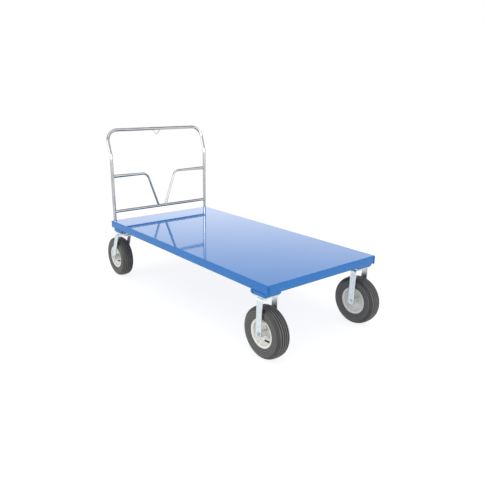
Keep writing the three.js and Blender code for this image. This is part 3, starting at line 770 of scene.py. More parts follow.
def install(
    surface: Surface,
    name: str,
    finish: Finish,
    body: str,
    stands_for: tuple[str, ...] = (),
    edge: float = 0.0,
    cuts: Surface | None = None,
    sharp: float = 35.0,
    relief_highlight: np.ndarray | None = None,
) -> bpy.types.Object:
    """Makes a surface into a finished piece of the truck.

    Args:
        surface: its shape, in place.
        name: the piece's name.
        finish: its finish.
        body: the frame's body that it moves with.
        stands_for: the frame's nodes that it is shown instead of.
        edge: width of the broken edge on its sharp corners.
        cuts: closed shapes taken out of it.
        sharp: edges that turn by more degrees than this stay crisp.
        relief_highlight: how proud each point stands, from nought to one, kept on the points as the mask of
            a finish's painted highlight.

    Returns:
        The piece.
    """
    mesh = bpy.data.meshes.new(name)
    mesh.from_pydata(surface.points, [], surface.faces)
    # Keep the mask for the finish's painted highlight on proud points.
    if relief_highlight is not None:
        mesh.attributes.new(RELIEF_HIGHLIGHT, "FLOAT", "POINT").data.foreach_set("value", relief_highlight)
    shut(mesh, sharp)
    piece = bpy.data.objects.new(name, mesh)
    bpy.context.scene.collection.objects.link(piece)
    if cuts:
        cut_away(piece, cuts, sharp)
    piece.data.materials.clear()
    piece.data.materials.append(finish.material())
    if edge:
        bevel = piece.modifiers.new("broken_edge", "BEVEL")
        bevel.width, bevel.segments, bevel.limit_method = edge, EDGE_STEPS, "ANGLE"
        bevel.angle_limit, bevel.harden_normals = math.radians(sharp), True
        bevel.use_clamp_overlap = True
    else:
        weights = piece.modifiers.new("flat_faces_first", "WEIGHTED_NORMAL")
        weights.weight, weights.keep_sharp = FLAT_FACE_WEIGHT, True
    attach(piece, body)
    if stands_for:
        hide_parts(*stands_for)
    log.info("%s: %d faces, rides on %s", name, len(piece.data.polygons), body)
    return piece


def node_box(node: str) -> tuple[np.ndarray, np.ndarray]:
    """Lowest and highest corner of a node at rest, as arrays."""
    low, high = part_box(node)
    return np.array(low), np.array(high)


def node_middle(node: str) -> np.ndarray:
    """Middle of a node's box at rest."""
    low, high = node_box(node)
    return (low + high) / 2


# ---- Deck ---------------------------------------------------------------------------------------


@dataclass
class Deck:
    """Folded pan with the channels, shoes and sockets welded under it."""

    sheet: float = 0.003
    fold: float = 0.0065
    flange: float = 0.018
    corner: float = 0.0015
    lap_width: float = 0.013
    lap_sheet: float = 0.0016
    lap_drop: float = 0.003
    seam_width: float = 0.0034
    seam_depth: float = 0.0022
    socket_bore: float = 0.013
    socket_floor: float = 0.004
    channel_wall: float = 0.004
    channel_fold: float = 0.007
    shoe_fold: float = 0.008
    lug: float = 0.014
    notch: tuple[float, float] = (0.010, 0.013)
    socket_edge: float = 0.002
    seam_past: float = 0.001
    handle_drill: tuple[float, float] = (-0.03, 0.01)
    bolt_drill: float = 0.03
    handle_inset: tuple[float, float] = (0.018, 0.024)
    low: np.ndarray = field(default_factory=lambda: node_box("deck_sheet")[0])
    high: np.ndarray = field(default_factory=lambda: node_box("deck_sheet")[1])

    def handle_foot(self, side: int) -> np.ndarray:
        """Where an upright of the handle passes through the sheet."""
        y = self.high[1] - self.handle_inset[1]
        return np.array([self.low[0] + self.handle_inset[0], side * y, self.high[2]])

    def pan(self) -> Surface:
        """The pan: a folded profile carried round the rectangle of its plan.

        Each point of the profile has an inset and a level; at each, the plan's rounded rectangle is
        drawn in by the inset. The sheet closes it above and below the middle.

        Returns:
            The closed pan.
        """
        top, foot, wall = self.high[2], self.low[2], self.sheet
        lip, middle = self.flange + wall, 4 * self.flange
        inner = self.fold - wall
        corners = [(middle, top), (0, top), (0, foot), (lip, foot), (lip, foot + wall)]
        corners += [(wall, foot + wall), (wall, top - wall), (middle, top - wall)]
        profile, _ = bent_line(corners, [self.fold, self.fold, 0, 0, inner, inner], 6)
        plans = np.stack([self.plan(inset) for inset, _ in profile])
        levels = np.broadcast_to(profile[:, 1][:, None, None], (*plans.shape[:2], 1))
        return capped(np.concatenate([plans, levels], -1))

    def plan(self, inset: float) -> np.ndarray:
        """Rectangle of the pan's plan, drawn in by an inset."""
        return rounded(rectangle(*(self.low[:2] + inset), *(self.high[:2] - inset)), self.corner, 3)

    def handle_holes(self) -> Surface:
        """Two upright drills through the sheet, where the handle's feet go in."""
        drill = rod(self.socket_bore, *self.handle_drill, steps=64)
        return together(*(drill.moved(self.handle_foot(side)) for side in (-1, 1)))

    def seams(self) -> Surface:
        """Upright cuts at the corners of the end skirts, beside each lap's fold and its free edge."""
        cuts = []
        for end in (-1, 1):
            face = self.high[0] if end > 0 else self.low[0]
            x0, x1 = sorted((face - end * self.seam_depth, face + end * self.seam_past))
            for side in (-1, 1):
                for inset in (self.corner, self.lap_width):
                    start = side * (self.high[1] - inset)
                    y0, y1 = sorted((start, start - side * self.seam_width))
                    outline = np.array(rectangle(x0, y0, x1, y1))
                    foot = self.low[2] - self.seam_past
                    cuts.append(prism(outline, foot, self.high[2] - self.fold, Axis.Z))
        return together(*cuts)

    def laps(self) -> Surface:
        """Tabs of the side skirts, bent round the corners and lapped on the end skirts."""
        tabs = []
        for end in (-1, 1):
            face = self.high[0] if end > 0 else self.low[0]
            for side in (-1, 1):
                edge = side * (self.high[1] - self.corner - self.seam_width)
                back = side * (self.high[1] - self.lap_width)
                skin = face + end * self.lap_sheet
                outline = [(face, edge), (skin, edge), (skin, back), (face, back)]
                shape = rounded(outline, [0, self.lap_sheet * 0.6, self.lap_sheet * 0.4, 0], 3)
                lowest = self.low[2] - self.lap_drop
                tabs.append(prism(shape, lowest, self.high[2] - self.fold, Axis.Z))
        return together(*tabs)

    def channel(self, node: str) -> Surface:
        """Folded channel across the deck, its rounded U section drawn along Y."""
        low, high = node_box(node)
        (x0, z0), (x1, z1), wall = low[[0, 2]], high[[0, 2]], self.channel_wall
        outline = [(x0, z1), (x0, z0), (x1, z0), (x1, z1), (x1 - wall, z1), (x1 - wall, z0 + wall)]
        outline += [(x0 + wall, z0 + wall), (x0 + wall, z1)]
        bend, inner = self.channel_fold, self.channel_fold - wall
        section = rounded(outline, [0, bend, bend, 0, 0, inner, inner, 0], 5)
        return prism(section, low[1], high[1], Axis.Y)

    def shoe(self, corner: Corner) -> tuple[Surface, Surface]:
        """Folded tray between the pan and a caster plate, open towards the middle of the deck.

        Args:
            corner: which caster it carries.

        Returns:
            Its blank, a rounded U section drawn along X, and the shapes cut out of that.
        """
        low, high = node_box(f"{corner.label}_caster_shoe")
        wall, bend, inner = SHOE_WALL, self.shoe_fold, self.shoe_fold - SHOE_WALL
        (y0, z0), (y1, z1) = low[1:], high[1:]
        section = [(y0, z1), (y0, z0), (y1, z0), (y1, z1)]
        blank = prism(rounded(section, [0, bend, bend, 0], 6), low[0], high[0], Axis.X)
        mouth, back = (low[0], high[0]) if corner.end > 0 else (high[0], low[0])
        inside = [(y0 + wall, z1 + wall), (y0 + wall, z0 + wall), (y1 - wall, z0 + wall)]
        inside.append((y1 - wall, z1 + wall))
        hollow = prism(
            rounded(inside, [0, inner, inner, 0], 4),
            mouth - corner.end * wall,
            back - corner.end * wall,
            Axis.X,
        )
        return blank, together(hollow, self.shoe_fold_cut(corner, back, low, high), self.shoe_notch(corner))

    def shoe_fold_cut(self, corner: Corner, back: float, low: np.ndarray, high: np.ndarray) -> Surface:
        """What rounds the foot of a shoe's end wall: a square corner less a quarter circle."""
        reach, end = self.shoe_fold, corner.end
        ahead, foot = np.array([end * reach, 0.0]), np.array([back, low[2]])
        up = np.array([0.0, reach])
        arc, _ = corner_arc(foot - 2 * ahead, foot, foot + 2 * up, reach, 6)
        outline = np.vstack([arc, [foot + up + ahead, foot - up + ahead, foot - up - ahead]])
        return prism(outline, low[1] - reach, high[1] + reach, Axis.Y)

    def shoe_notch(self, corner: Corner) -> Surface:
        """Notch through a shoe's outer wall beside the lug at its mouth, and the four bolt holes."""
        low, high = node_box(f"{corner.label}_caster_shoe")
        end, (width, height), floor = corner.end, self.notch, low[2] + SHOE_WALL
        start = (low[0] if end > 0 else high[0]) + end * self.lug
        outer = high[1] if corner.side > 0 else low[1]
        x0, x1 = sorted((start, start + end * width))
        y0, y1 = sorted((outer - corner.side * 2 * SHOE_WALL, outer + corner.side * SHOE_WALL))
        outline = rectangle(x0, floor, x1, floor + height)
        notch = prism(rounded(outline, [0, 0, width / 4, width / 4], 4), y0, y1, Axis.Y)
        drill = rod(PLATE_BOLT_HOLE, -self.bolt_drill, self.bolt_drill)
        places = plate_bolt_places((low + high) / 2, low[2])
        return together(notch, *(drill.moved(place) for place in places))

    def socket(self, side: int) -> tuple[Surface, Surface]:
        """Block in the deck's corner and the blind bore that takes a foot of the handle.

        Args:
            side: +1 on the left, -1 on the right.

        Returns:
            The block and the bore.
        """
        low, high = node_box(("left" if side > 0 else "right") + "_handle_socket")
        outline = rounded(rectangle(*low[:2], *high[:2]), self.socket_edge, 4)
        foot = self.handle_foot(side)
        depth = low[2] + self.socket_floor - foot[2]
        bore = rod(self.socket_bore, depth, self.handle_drill[1], steps=64)
        return prism(outline, low[2], high[2], Axis.Z), bore.moved(foot)

    def build(self) -> None:
        """Makes the deck's pieces and dresses them in enamel."""
        enamel = BLUE_ENAMEL
        cuts = together(self.handle_holes(), self.seams())
        install(self.pan(), "deck_pan", enamel, "chassis", ("deck_sheet",), cuts=cuts)
        install(self.laps(), "corner_laps", enamel, "chassis", edge=0.0003)
        for name in ("front_caster", "front_middle", "rear_middle", "rear_caster"):
            node = f"{name}_channel"
            install(self.channel(node), f"{name}_cross_channel", enamel, "chassis", (node,), 0.0004)
        for corner in Corner:
            blank, cuts = self.shoe(corner)
            node = f"{corner.label}_caster_shoe"
            install(blank, f"{corner.label}_shoe", enamel, "chassis", (node,), 0.0005, cuts)
        for side, hand in ((-1, "right"), (1, "left")):
            block, bore = self.socket(side)
            node = f"{hand}_handle_socket"
            install(block, f"{hand}_socket", enamel, "chassis", (node,), 0.0004, bore)


def plate_bolt_places(middle: np.ndarray, level: float) -> list[np.ndarray]:
    """Places of a caster plate's four bolts at a level, round the plate's middle."""
    (x, y), (ahead, aside) = middle[:2], PLATE_BOLT_SPREAD
    return [np.array([x + i * ahead, y + j * aside, level]) for i in (-1, 1) for j in (-1, 1)]


# ---- Handle -------------------------------------------------------------------------------------


@dataclass
class Handle:
    """Bent tube with its rail, braces and hang loop, all of which lift out of the deck."""

    deck: Deck
    tube_radius: float = 0.0127
    tube_wall: float = 0.0018
    rise: float = 0.687
    lean_start: float = 0.498
    lean: float = 17.4
    corner_bend: float = 0.086
    lean_bend: float = 0.150
    rail_radius: float = 0.012
    rail_rise: float = 0.071
    brace_radius: float = 0.0095
    brace_rise: float = 0.346
    brace_corner: float = 0.131
    brace_foot: float = 0.031
    brace_bend: float = 0.055
    small_wall: float = 0.0015
    pressed_length: float = 0.05
    pressed_height: float = 1.42
    pressed_depth: float = 0.72
    wire_radius: float = 0.003
    loop_width: float = 0.084
    loop_depth: float = 0.047
    loop_tip: float = 0.009
    seam: float = 0.0018
    loop_seam: float = 0.6  # over the other seams
    member_ripples: int = 13
    loop_ripples: int = 7
    member_back: float = 3  # how far an end is drawn back before it is coped, in tube radii
    loop_back: float = 2.5
    facing: tuple[float, float, float] = (0.954, 0.0, 0.299)

    def at(self, side: float, rise: float) -> np.ndarray:
        """A point on an upright's centre line, or between them, at a height over the deck."""
        foot = self.deck.handle_foot(1)
        return np.array([foot[0], side * foot[1], foot[2] + rise])

    @property
    def top(self) -> np.ndarray:
        """Middle of the top tube's centre line."""
        back = (self.rise - self.lean_start) * math.tan(math.radians(self.lean))
        return self.at(0, self.rise) - np.array([back, 0.0, 0.0])

    def main_tube(self) -> Surface:
        """The long tube: circles carried up one side, across the top and down the other."""
        foot = node_box("handle_tube")[0][2] - self.deck.high[2]
        corners = []
        for side in (-1, 1):
            half = [self.at(side, foot), self.at(side, self.lean_start), self.top]
            half[2][1] = half[0][1]
            corners += half[::side * -1]
        bends = [self.lean_bend, self.corner_bend, self.corner_bend, self.lean_bend]
        line, headings = bent_line(corners, bends, 28)
        outer = rings(line, headings, self.tube_radius, self.facing, 48)
        return hollow_tube(outer, rings(line, headings, self.tube_radius - self.tube_wall, self.facing, 48))

    def member(
        self, corners: list, bends: list[float], radius: float, ends: list[tuple], pressed: bool = False
    ) -> tuple[Surface, list[Surface]]:
        """A smaller tube between other tubes, its ends coped to them and welded round.

        Args:
            corners: its centre line's corners.
            bends: radius at each inner corner.
            radius: its outside radius.
            ends: centre, direction and radius of the tube that each end meets.
            pressed: whether its first end is pressed flat and tall.

        Returns:
            The tube and its two weld beads.
        """
        line, headings = bent_line(corners, bends, 24)
        shells = []
        for size in (radius, radius - self.small_wall):
            circles = rings(line, headings, size, self.facing, 40)
            if pressed:
                run = np.linalg.norm(line - line[0], axis=1) - self.tube_radius
                share = 1 - step_up(run / self.pressed_length)[:, None]
                for axis, factor in ((0, self.pressed_depth), (2, self.pressed_height)):
                    middle = line[:, axis][:, None]
                    circles[..., axis] = middle + (circles[..., axis] - middle) * (1 + share * (factor - 1))
            for row, way, (centre, along, meets) in ((0, -1, ends[0]), (-1, 1, ends[1])):
                back = circles[row] - way * headings[row] * self.member_back * self.tube_radius
                circles[row] = coped(back, way * headings[row], centre, along, meets)
            shells.append(circles)
        seams = [
            weld_bead(shells[0][row], headings[row], self.seam, self.member_ripples) for row in (0, -1)
        ]
        return hollow_tube(*shells), seams

    def rail(self) -> tuple[Surface, list[Surface]]:
        """The straight rail between the uprights, and its welds."""
        ends = [(self.at(side, 0), (0, 0, 1), self.tube_radius) for side in (-1, 1)]
        corners = [self.at(side, self.rail_rise) for side in (-1, 1)]
        return self.member(corners, [], self.rail_radius, ends)

    def brace(self, side: int) -> tuple[Surface, list[Surface]]:
        """One arm that runs in from an upright and bends down to the rail, and its welds."""
        reach = self.deck.handle_foot(1)[1]
        corners = [
            self.at(side, self.brace_rise),
            self.at(side * self.brace_corner / reach, self.brace_rise),
            self.at(side * self.brace_foot / reach, self.rail_rise),
        ]
        ends = [
            (self.at(side, 0), (0, 0, 1), self.tube_radius),
            (self.at(0, self.rail_rise), (0, 1, 0), self.rail_radius),
        ]
        return self.member(corners, [self.brace_bend], self.brace_radius, ends, pressed=True)

    def loop(self) -> tuple[Surface, list[Surface]]:
        """The bent wire under the top tube, and the welds at its two ends."""
        lean = math.radians(self.lean)
        down = np.array([math.sin(lean), 0.0, -math.cos(lean)])
        aside = np.array([0.0, self.loop_width / 2, 0.0])
        corners = [self.top - aside, self.top + down * self.loop_depth, self.top + aside]
        line, headings = bent_line(corners, [self.loop_tip], 16)
        upright = np.cross(down, (0.0, 1.0, 0.0))
        circles = rings(line, headings, self.wire_radius, upright, 20)
        seams = []
        for row, way in ((0, -1), (-1, 1)):
            ahead = way * headings[row]
            back = circles[row] - ahead * self.loop_back * self.tube_radius
            circles[row] = coped(back, ahead, self.top, (0, 1, 0), self.tube_radius)
            bead = self.seam * self.loop_seam
            seams.append(weld_bead(circles[row], ahead, bead, self.loop_ripples))
        poles = [np.broadcast_to(circles[row].mean(0), circles[row].shape)[None] for row in (0, -1)]
        return grid(np.concatenate([poles[0], circles, poles[1]]), wrap_columns=True), seams

    def build(self) -> bpy.types.Object:
        """Makes the handle's pieces and dresses them in bright plate.

        Returns:
            The main tube.
        """
        tube = install(self.main_tube(), "bent_main_tube", BRIGHT_TUBE, "handle", ("handle_tube",))
        made = {
            "handle_lower_rail": self.rail(),
            "handle_left_brace": self.brace(1),
            "handle_right_brace": self.brace(-1),
            "handle_hang_loop": self.loop(),
        }
        beads = []
        for node, (surface, seams) in made.items():
            install(surface, node.replace("handle_", "bent_"), BRIGHT_TUBE, "handle", (node,))
            beads += seams
        install(together(*beads), "handle_weld_beads", BRIGHT_TUBE, "handle", sharp=60)
        return tube


# ---- Casters ------------------------------------------------------------------------------------


@dataclass
class Caster:
    """One caster: plate and its bolts, fork, axle, and on the swivel ones the race and kingpin."""

    corner: Corner
    plate_corner: float = 0.008
    bolt_radius: float = 0.004
    bolt_flats: float = 0.013
    bolt_head: float = 0.0053
    bolt_nut: float = 0.0065
    bolt_washer: tuple[float, float] = (0.008, 0.0014)
    bolt_shank: tuple[float, float] = (0.0005, 0.016)
    bolt_tail: tuple[float, float] = (0.0105, 0.00125)
    strap: float = 0.044
    thick: float = 0.008
    inside: float = 0.106
    bend: float = 0.020
    edge: float = 0.0018
    crown_radius: float = 0.045
    crown_share: float = 0.6  # of that radius, where the crown starts to give way to the legs
    foot_steps: int = 16
    foot_start: float = 0.04  # first angle of the foot's half circle, in radians
    run_steps: int = 320
    edge_share: float = 0.9  # most of half the width that an edge may take
    setback: float = 0.029
    axle_radius: float = 0.00635
    axle_flats: float = 0.01905
    axle_head: float = 0.008
    nut_height: float = 0.011
    thread_end: float = 0.003
    seat_gap: float = 0.0003
    sleeve_radius: float = 0.0095
    washer_radius: float = 0.0135
    washer_sheet: float = 0.0018
    axle_pitch: float = 0.0015
    thread_root: float = 0.004
    axle_drill: float = 0.1
    plate_drill: float = 0.02
    race_bore: float = 0.0083
    race_step: float = 0.004
    race_gap: float = 0.0012
    race_split: float = 0.42  # of its height, where the gap starts
    pin_radius: float = 0.008
    pin_head: float = 0.007
    pin_dome: float = 0.6  # of the head's height

    def node(self, part: str) -> str:
        """Name of one of the corner's nodes."""
        return f"{self.corner.label}_{part}"

    @property
    def swivels(self) -> bool:
        """Whether the caster turns about an upright pin."""
        return self.corner.end < 0

    @property
    def axle(self) -> np.ndarray:
        """Middle of the axle."""
        return node_middle(self.node("axle_sleeve"))

    @property
    def plate_middle(self) -> np.ndarray:
        """Middle of the caster plate."""
        return node_middle(self.node("caster_plate"))

    def plate(self) -> tuple[Surface, Surface]:
        """The plate, a rounded rectangle, and the drills for its bolts.

        Returns:
            The plate and the drills.
        """
        low, high = node_box(self.node("caster_plate"))
        outline = rounded(rectangle(*low[:2], *high[:2]), self.plate_corner, 8)
        drill = rod(PLATE_BOLT_HOLE, -self.plate_drill, self.plate_drill)
        places = plate_bolt_places(self.plate_middle, low[2])
        return prism(outline, low[2], high[2], Axis.Z), together(*(drill.moved(p) for p in places))

    def plate_bolts(self) -> Surface:
        """Four bolts down through shoe and plate, each with a head, washer, nut and thread end."""
        low, high = node_box(self.node("caster_plate"))
        (flat, sheet), (start, length), down = self.bolt_washer, self.bolt_shank, (0, 0, -1)
        head, nut = (hex_block(self.bolt_flats, height) for height in (self.bolt_head, self.bolt_nut))
        under = washer(self.bolt_radius, flat, sheet)
        shank = rod(self.bolt_radius, 0, length, steps=24)
        tail = threaded_end(self.bolt_radius, *self.bolt_tail)
        pieces = []
        for place in plate_bolt_places(self.plate_middle, 0.0):
            seat, foot = place + (0, 0, high[2] + SHOE_WALL), place + (0, 0, low[2])
            face = foot - (0, 0, sheet)
            pieces += [head.moved(seat), shank.moved(foot - (0, 0, start)), under.moved(face)]
            pieces += [nut.aimed(face, down), tail.aimed(foot, down)]
        return together(*pieces)

    def strap_edges(self, places: np.ndarray, top_x: float, crown: float) -> tuple[np.ndarray, np.ndarray]:
        """Front and back edges of the fork's strap at each station of its U.

        Down the legs the strap leans from the axle to the crown, and below the axle it ends in a half
        circle: the distance from the axle line is the root of the radius squared less the depth
        squared. Across a swivel crown it swells to the circle about the kingpin, and a smooth step
        through each bend brings that back to the leg.

        Args:
            places: Y and Z of each station.
            top_x: middle of the strap at the crown.
            crown: level of the strap's middle at the crown.

        Returns:
            Lowest and highest X at each station.
        """
        axle, half = self.axle, self.strap / 2
        lean = math.atan2(top_x - axle[0], crown - axle[2])
        above = places[:, 1] - axle[2]
        arc = np.sqrt(np.maximum(half**2 - above**2, 0.0))
        middle, reach = axle[0] + above * math.tan(lean), half / math.cos(lean)
        back = np.where(above > half * math.sin(lean), middle - reach, axle[0] - arc)
        front = np.where(above > -half * math.sin(lean), middle + reach, axle[0] + arc)
        if self.swivels:
            aside = np.abs(places[:, 0] - axle[1])
            drop = crown - places[:, 1]
            chord = np.sqrt(np.maximum(self.crown_radius**2 - aside**2, 0.0))
            pin = self.plate_middle[0]
            start = self.crown_radius * self.crown_share
            step = step_up((aside + drop - start) / (self.inside / 2 + self.bend - start))
            back = (1 - step) * np.minimum(back, pin - chord) + step * back
            front = (1 - step) * np.maximum(front, pin + chord) + step * front
        return back, front

    def fork(self) -> tuple[Surface, Surface]:
        """The fork: a rounded strap section carried along an upside-down U.

        Returns:
            The strap and the drill for the axle.
        """
        axle, half, mid = self.axle, self.strap / 2, self.thick / 2
        crown = node_box(self.node("fork"))[1][2] - mid
        reach, foot = self.inside / 2 + mid, axle[2] - half
        corners = [(-reach, foot), (-reach, crown), (reach, crown), (reach, foot)]
        corners = [(axle[1] + y, z) for y, z in corners]
        line, headings = bent_line(corners, [self.bend - mid] * 2, 16)
        along = np.append(0.0, np.cumsum(np.linalg.norm(np.diff(line, axis=0), axis=1)))
        round_end = half * (1 - np.cos(np.linspace(self.foot_start, math.pi / 2, self.foot_steps)))
        run = np.linspace(half, along[-1] - half, self.run_steps)[1:-1]
        chosen = np.concatenate([round_end, run, along[-1] - round_end[::-1]])
        places = np.stack([np.interp(chosen, along, line[:, k]) for k in (0, 1)], 1)
        ahead = unit(np.stack([np.interp(chosen, along, headings[:, k]) for k in (0, 1)], 1))
        top_x = self.plate_middle[0] - self.setback if self.swivels else axle[0]
        back, front = self.strap_edges(places, top_x, crown)
        width = (front - back) / 2
        soft = np.minimum(self.edge, width * self.edge_share)[:, None]
        turn = np.radians(np.arange(4)[:, None] * 90 + np.linspace(0, 90, 4)).ravel()
        way_x = np.repeat([1, -1, -1, 1], 4)
        way_n = np.repeat([1, 1, -1, -1], 4)
        x = ((front + back) / 2)[:, None] + way_x * (width[:, None] - soft) + soft * np.cos(turn)
        out = way_n * (mid - soft) + soft * np.sin(turn)
        y = places[:, :1] + out * ahead[:, 1:]
        z = places[:, 1:] - out * ahead[:, :1]
        drill = rod(self.axle_radius + self.seat_gap, -self.axle_drill, self.axle_drill, Axis.Y, 48)
        return capped(np.stack([x, y, z], -1)), drill.moved(axle)

    def race(self) -> Surface:
        """Swivel race: an upper cup, a thin gap and a lower cup that steps in."""
        low, high = node_box(self.node("swivel_race"))
        rim, step, bore = (high[0] - low[0]) / 2, self.race_step, self.race_bore
        top = high[2] - low[2]
        gap = top * self.race_split
        over = gap + self.race_gap
        outline = [(bore, 0.0), (rim - step, 0.0), (rim - step, gap), (rim - 2 * step, gap)]
        outline += [(rim - 2 * step, over), (rim - step / 4, over), (rim, top - step)]
        outline += [(rim, top), (bore, top)]
        radii = [0, 0.0015, 0.0006, 0.0003, 0.0003, 0.002, 0.001, 0.0006, 0]
        middle = self.plate_middle
        return turned(rounded(outline, radii, 4), Axis.Z, 128).moved((middle[0], middle[1], low[2]))

    def kingpin(self) -> Surface:
        """Rivet through the plate, race and crown, with a domed head under the crown."""
        low, high = node_box(self.node("kingpin"))
        head, pin, deep = (high[0] - low[0]) / 2, self.pin_radius, self.pin_head
        dome = np.linspace(0, math.pi / 2, 12)
        cap = np.stack([head * np.sin(dome), deep * self.pin_dome * (1 - np.cos(dome))], 1)
        rest = [(head, deep), (pin, deep), (pin, high[2] - low[2]), (0, high[2] - low[2])]
        middle = self.plate_middle
        profile = np.vstack([cap, rest])
        return turned(profile, Axis.Z, 64, closed=False).moved((middle[0], middle[1], low[2]))

    def axle_bolt(self) -> Surface:
        """Bolt through both legs: shank, head and washer inside, thread end outside."""
        side = np.array([0.0, self.corner.side, 0.0])
        seat = self.inside / 2 + self.thick + self.seat_gap
        tail = seat + self.nut_height
        flat = washer(self.axle_radius, self.washer_radius, self.washer_sheet)
        head = hex_block(self.axle_flats, self.axle_head - self.washer_sheet)
        shank = rod(self.axle_radius, 0, seat + tail, steps=40)
        thread = threaded_end(self.axle_radius, self.thread_end + self.thread_root, self.axle_pitch)
        inner = self.axle - side * seat
        return together(
            shank.aimed(inner, side),
            flat.aimed(inner, -side),
            head.aimed(inner - side * self.washer_sheet, -side),
            thread.aimed(self.axle + side * (tail - self.thread_root), side),
        )

    def axle_nut(self) -> Surface:
        """Nut and washer on the outer side."""
        side = np.array([0.0, self.corner.side, 0.0])
        seat = self.axle + side * (self.inside / 2 + self.thick + self.seat_gap)
        flat = washer(self.axle_radius, self.washer_radius, self.washer_sheet)
        nut = hex_block(self.axle_flats, self.nut_height - self.washer_sheet)
        return together(flat.aimed(seat, side), nut.aimed(seat + side * self.washer_sheet, side))

    def sleeve(self) -> Surface:
        """Spacer tube on the axle, between the legs."""
        half = self.inside / 2 - self.seat_gap
        bore, radius = self.axle_radius + self.seat_gap, self.sleeve_radius
        profile = rounded([(bore, -half), (radius, -half), (radius, half), (bore, half)], 0.0004, 2)
        return turned(profile, Axis.Y, 48).moved(self.axle)

    def build(self) -> None:
        """Makes the caster's pieces and dresses them in zinc and steel."""
        name, body = self.corner.label, self.corner.fork_body
        plate, drills = self.plate()
        node = self.node
        install(plate, f"{name}_mount_plate", ZINC, "chassis", (node("caster_plate"),), 0.0006, drills)
        install(self.plate_bolts(), f"{name}_plate_bolts", ZINC, "chassis")
        strap, drill = self.fork()
        install(strap, f"{name}_bent_fork", ZINC, body, (node("fork"),), cuts=drill)
        if self.swivels:
            install(self.race(), f"{name}_race", ZINC, "chassis", (node("swivel_race"),))
            install(self.kingpin(), f"{name}_pin", STEEL, "chassis", (node("kingpin"),))
        install(self.axle_bolt(), f"{name}_bolt", ZINC, body, (node("axle_bolt"),))
        install(self.axle_nut(), f"{name}_nut", ZINC, body, (node("axle_nut"),))
        install(self.sleeve(), f"{name}_sleeve", STEEL, body, (node("axle_sleeve"),))


# ---- Wheels -------------------------------------------------------------------------------------


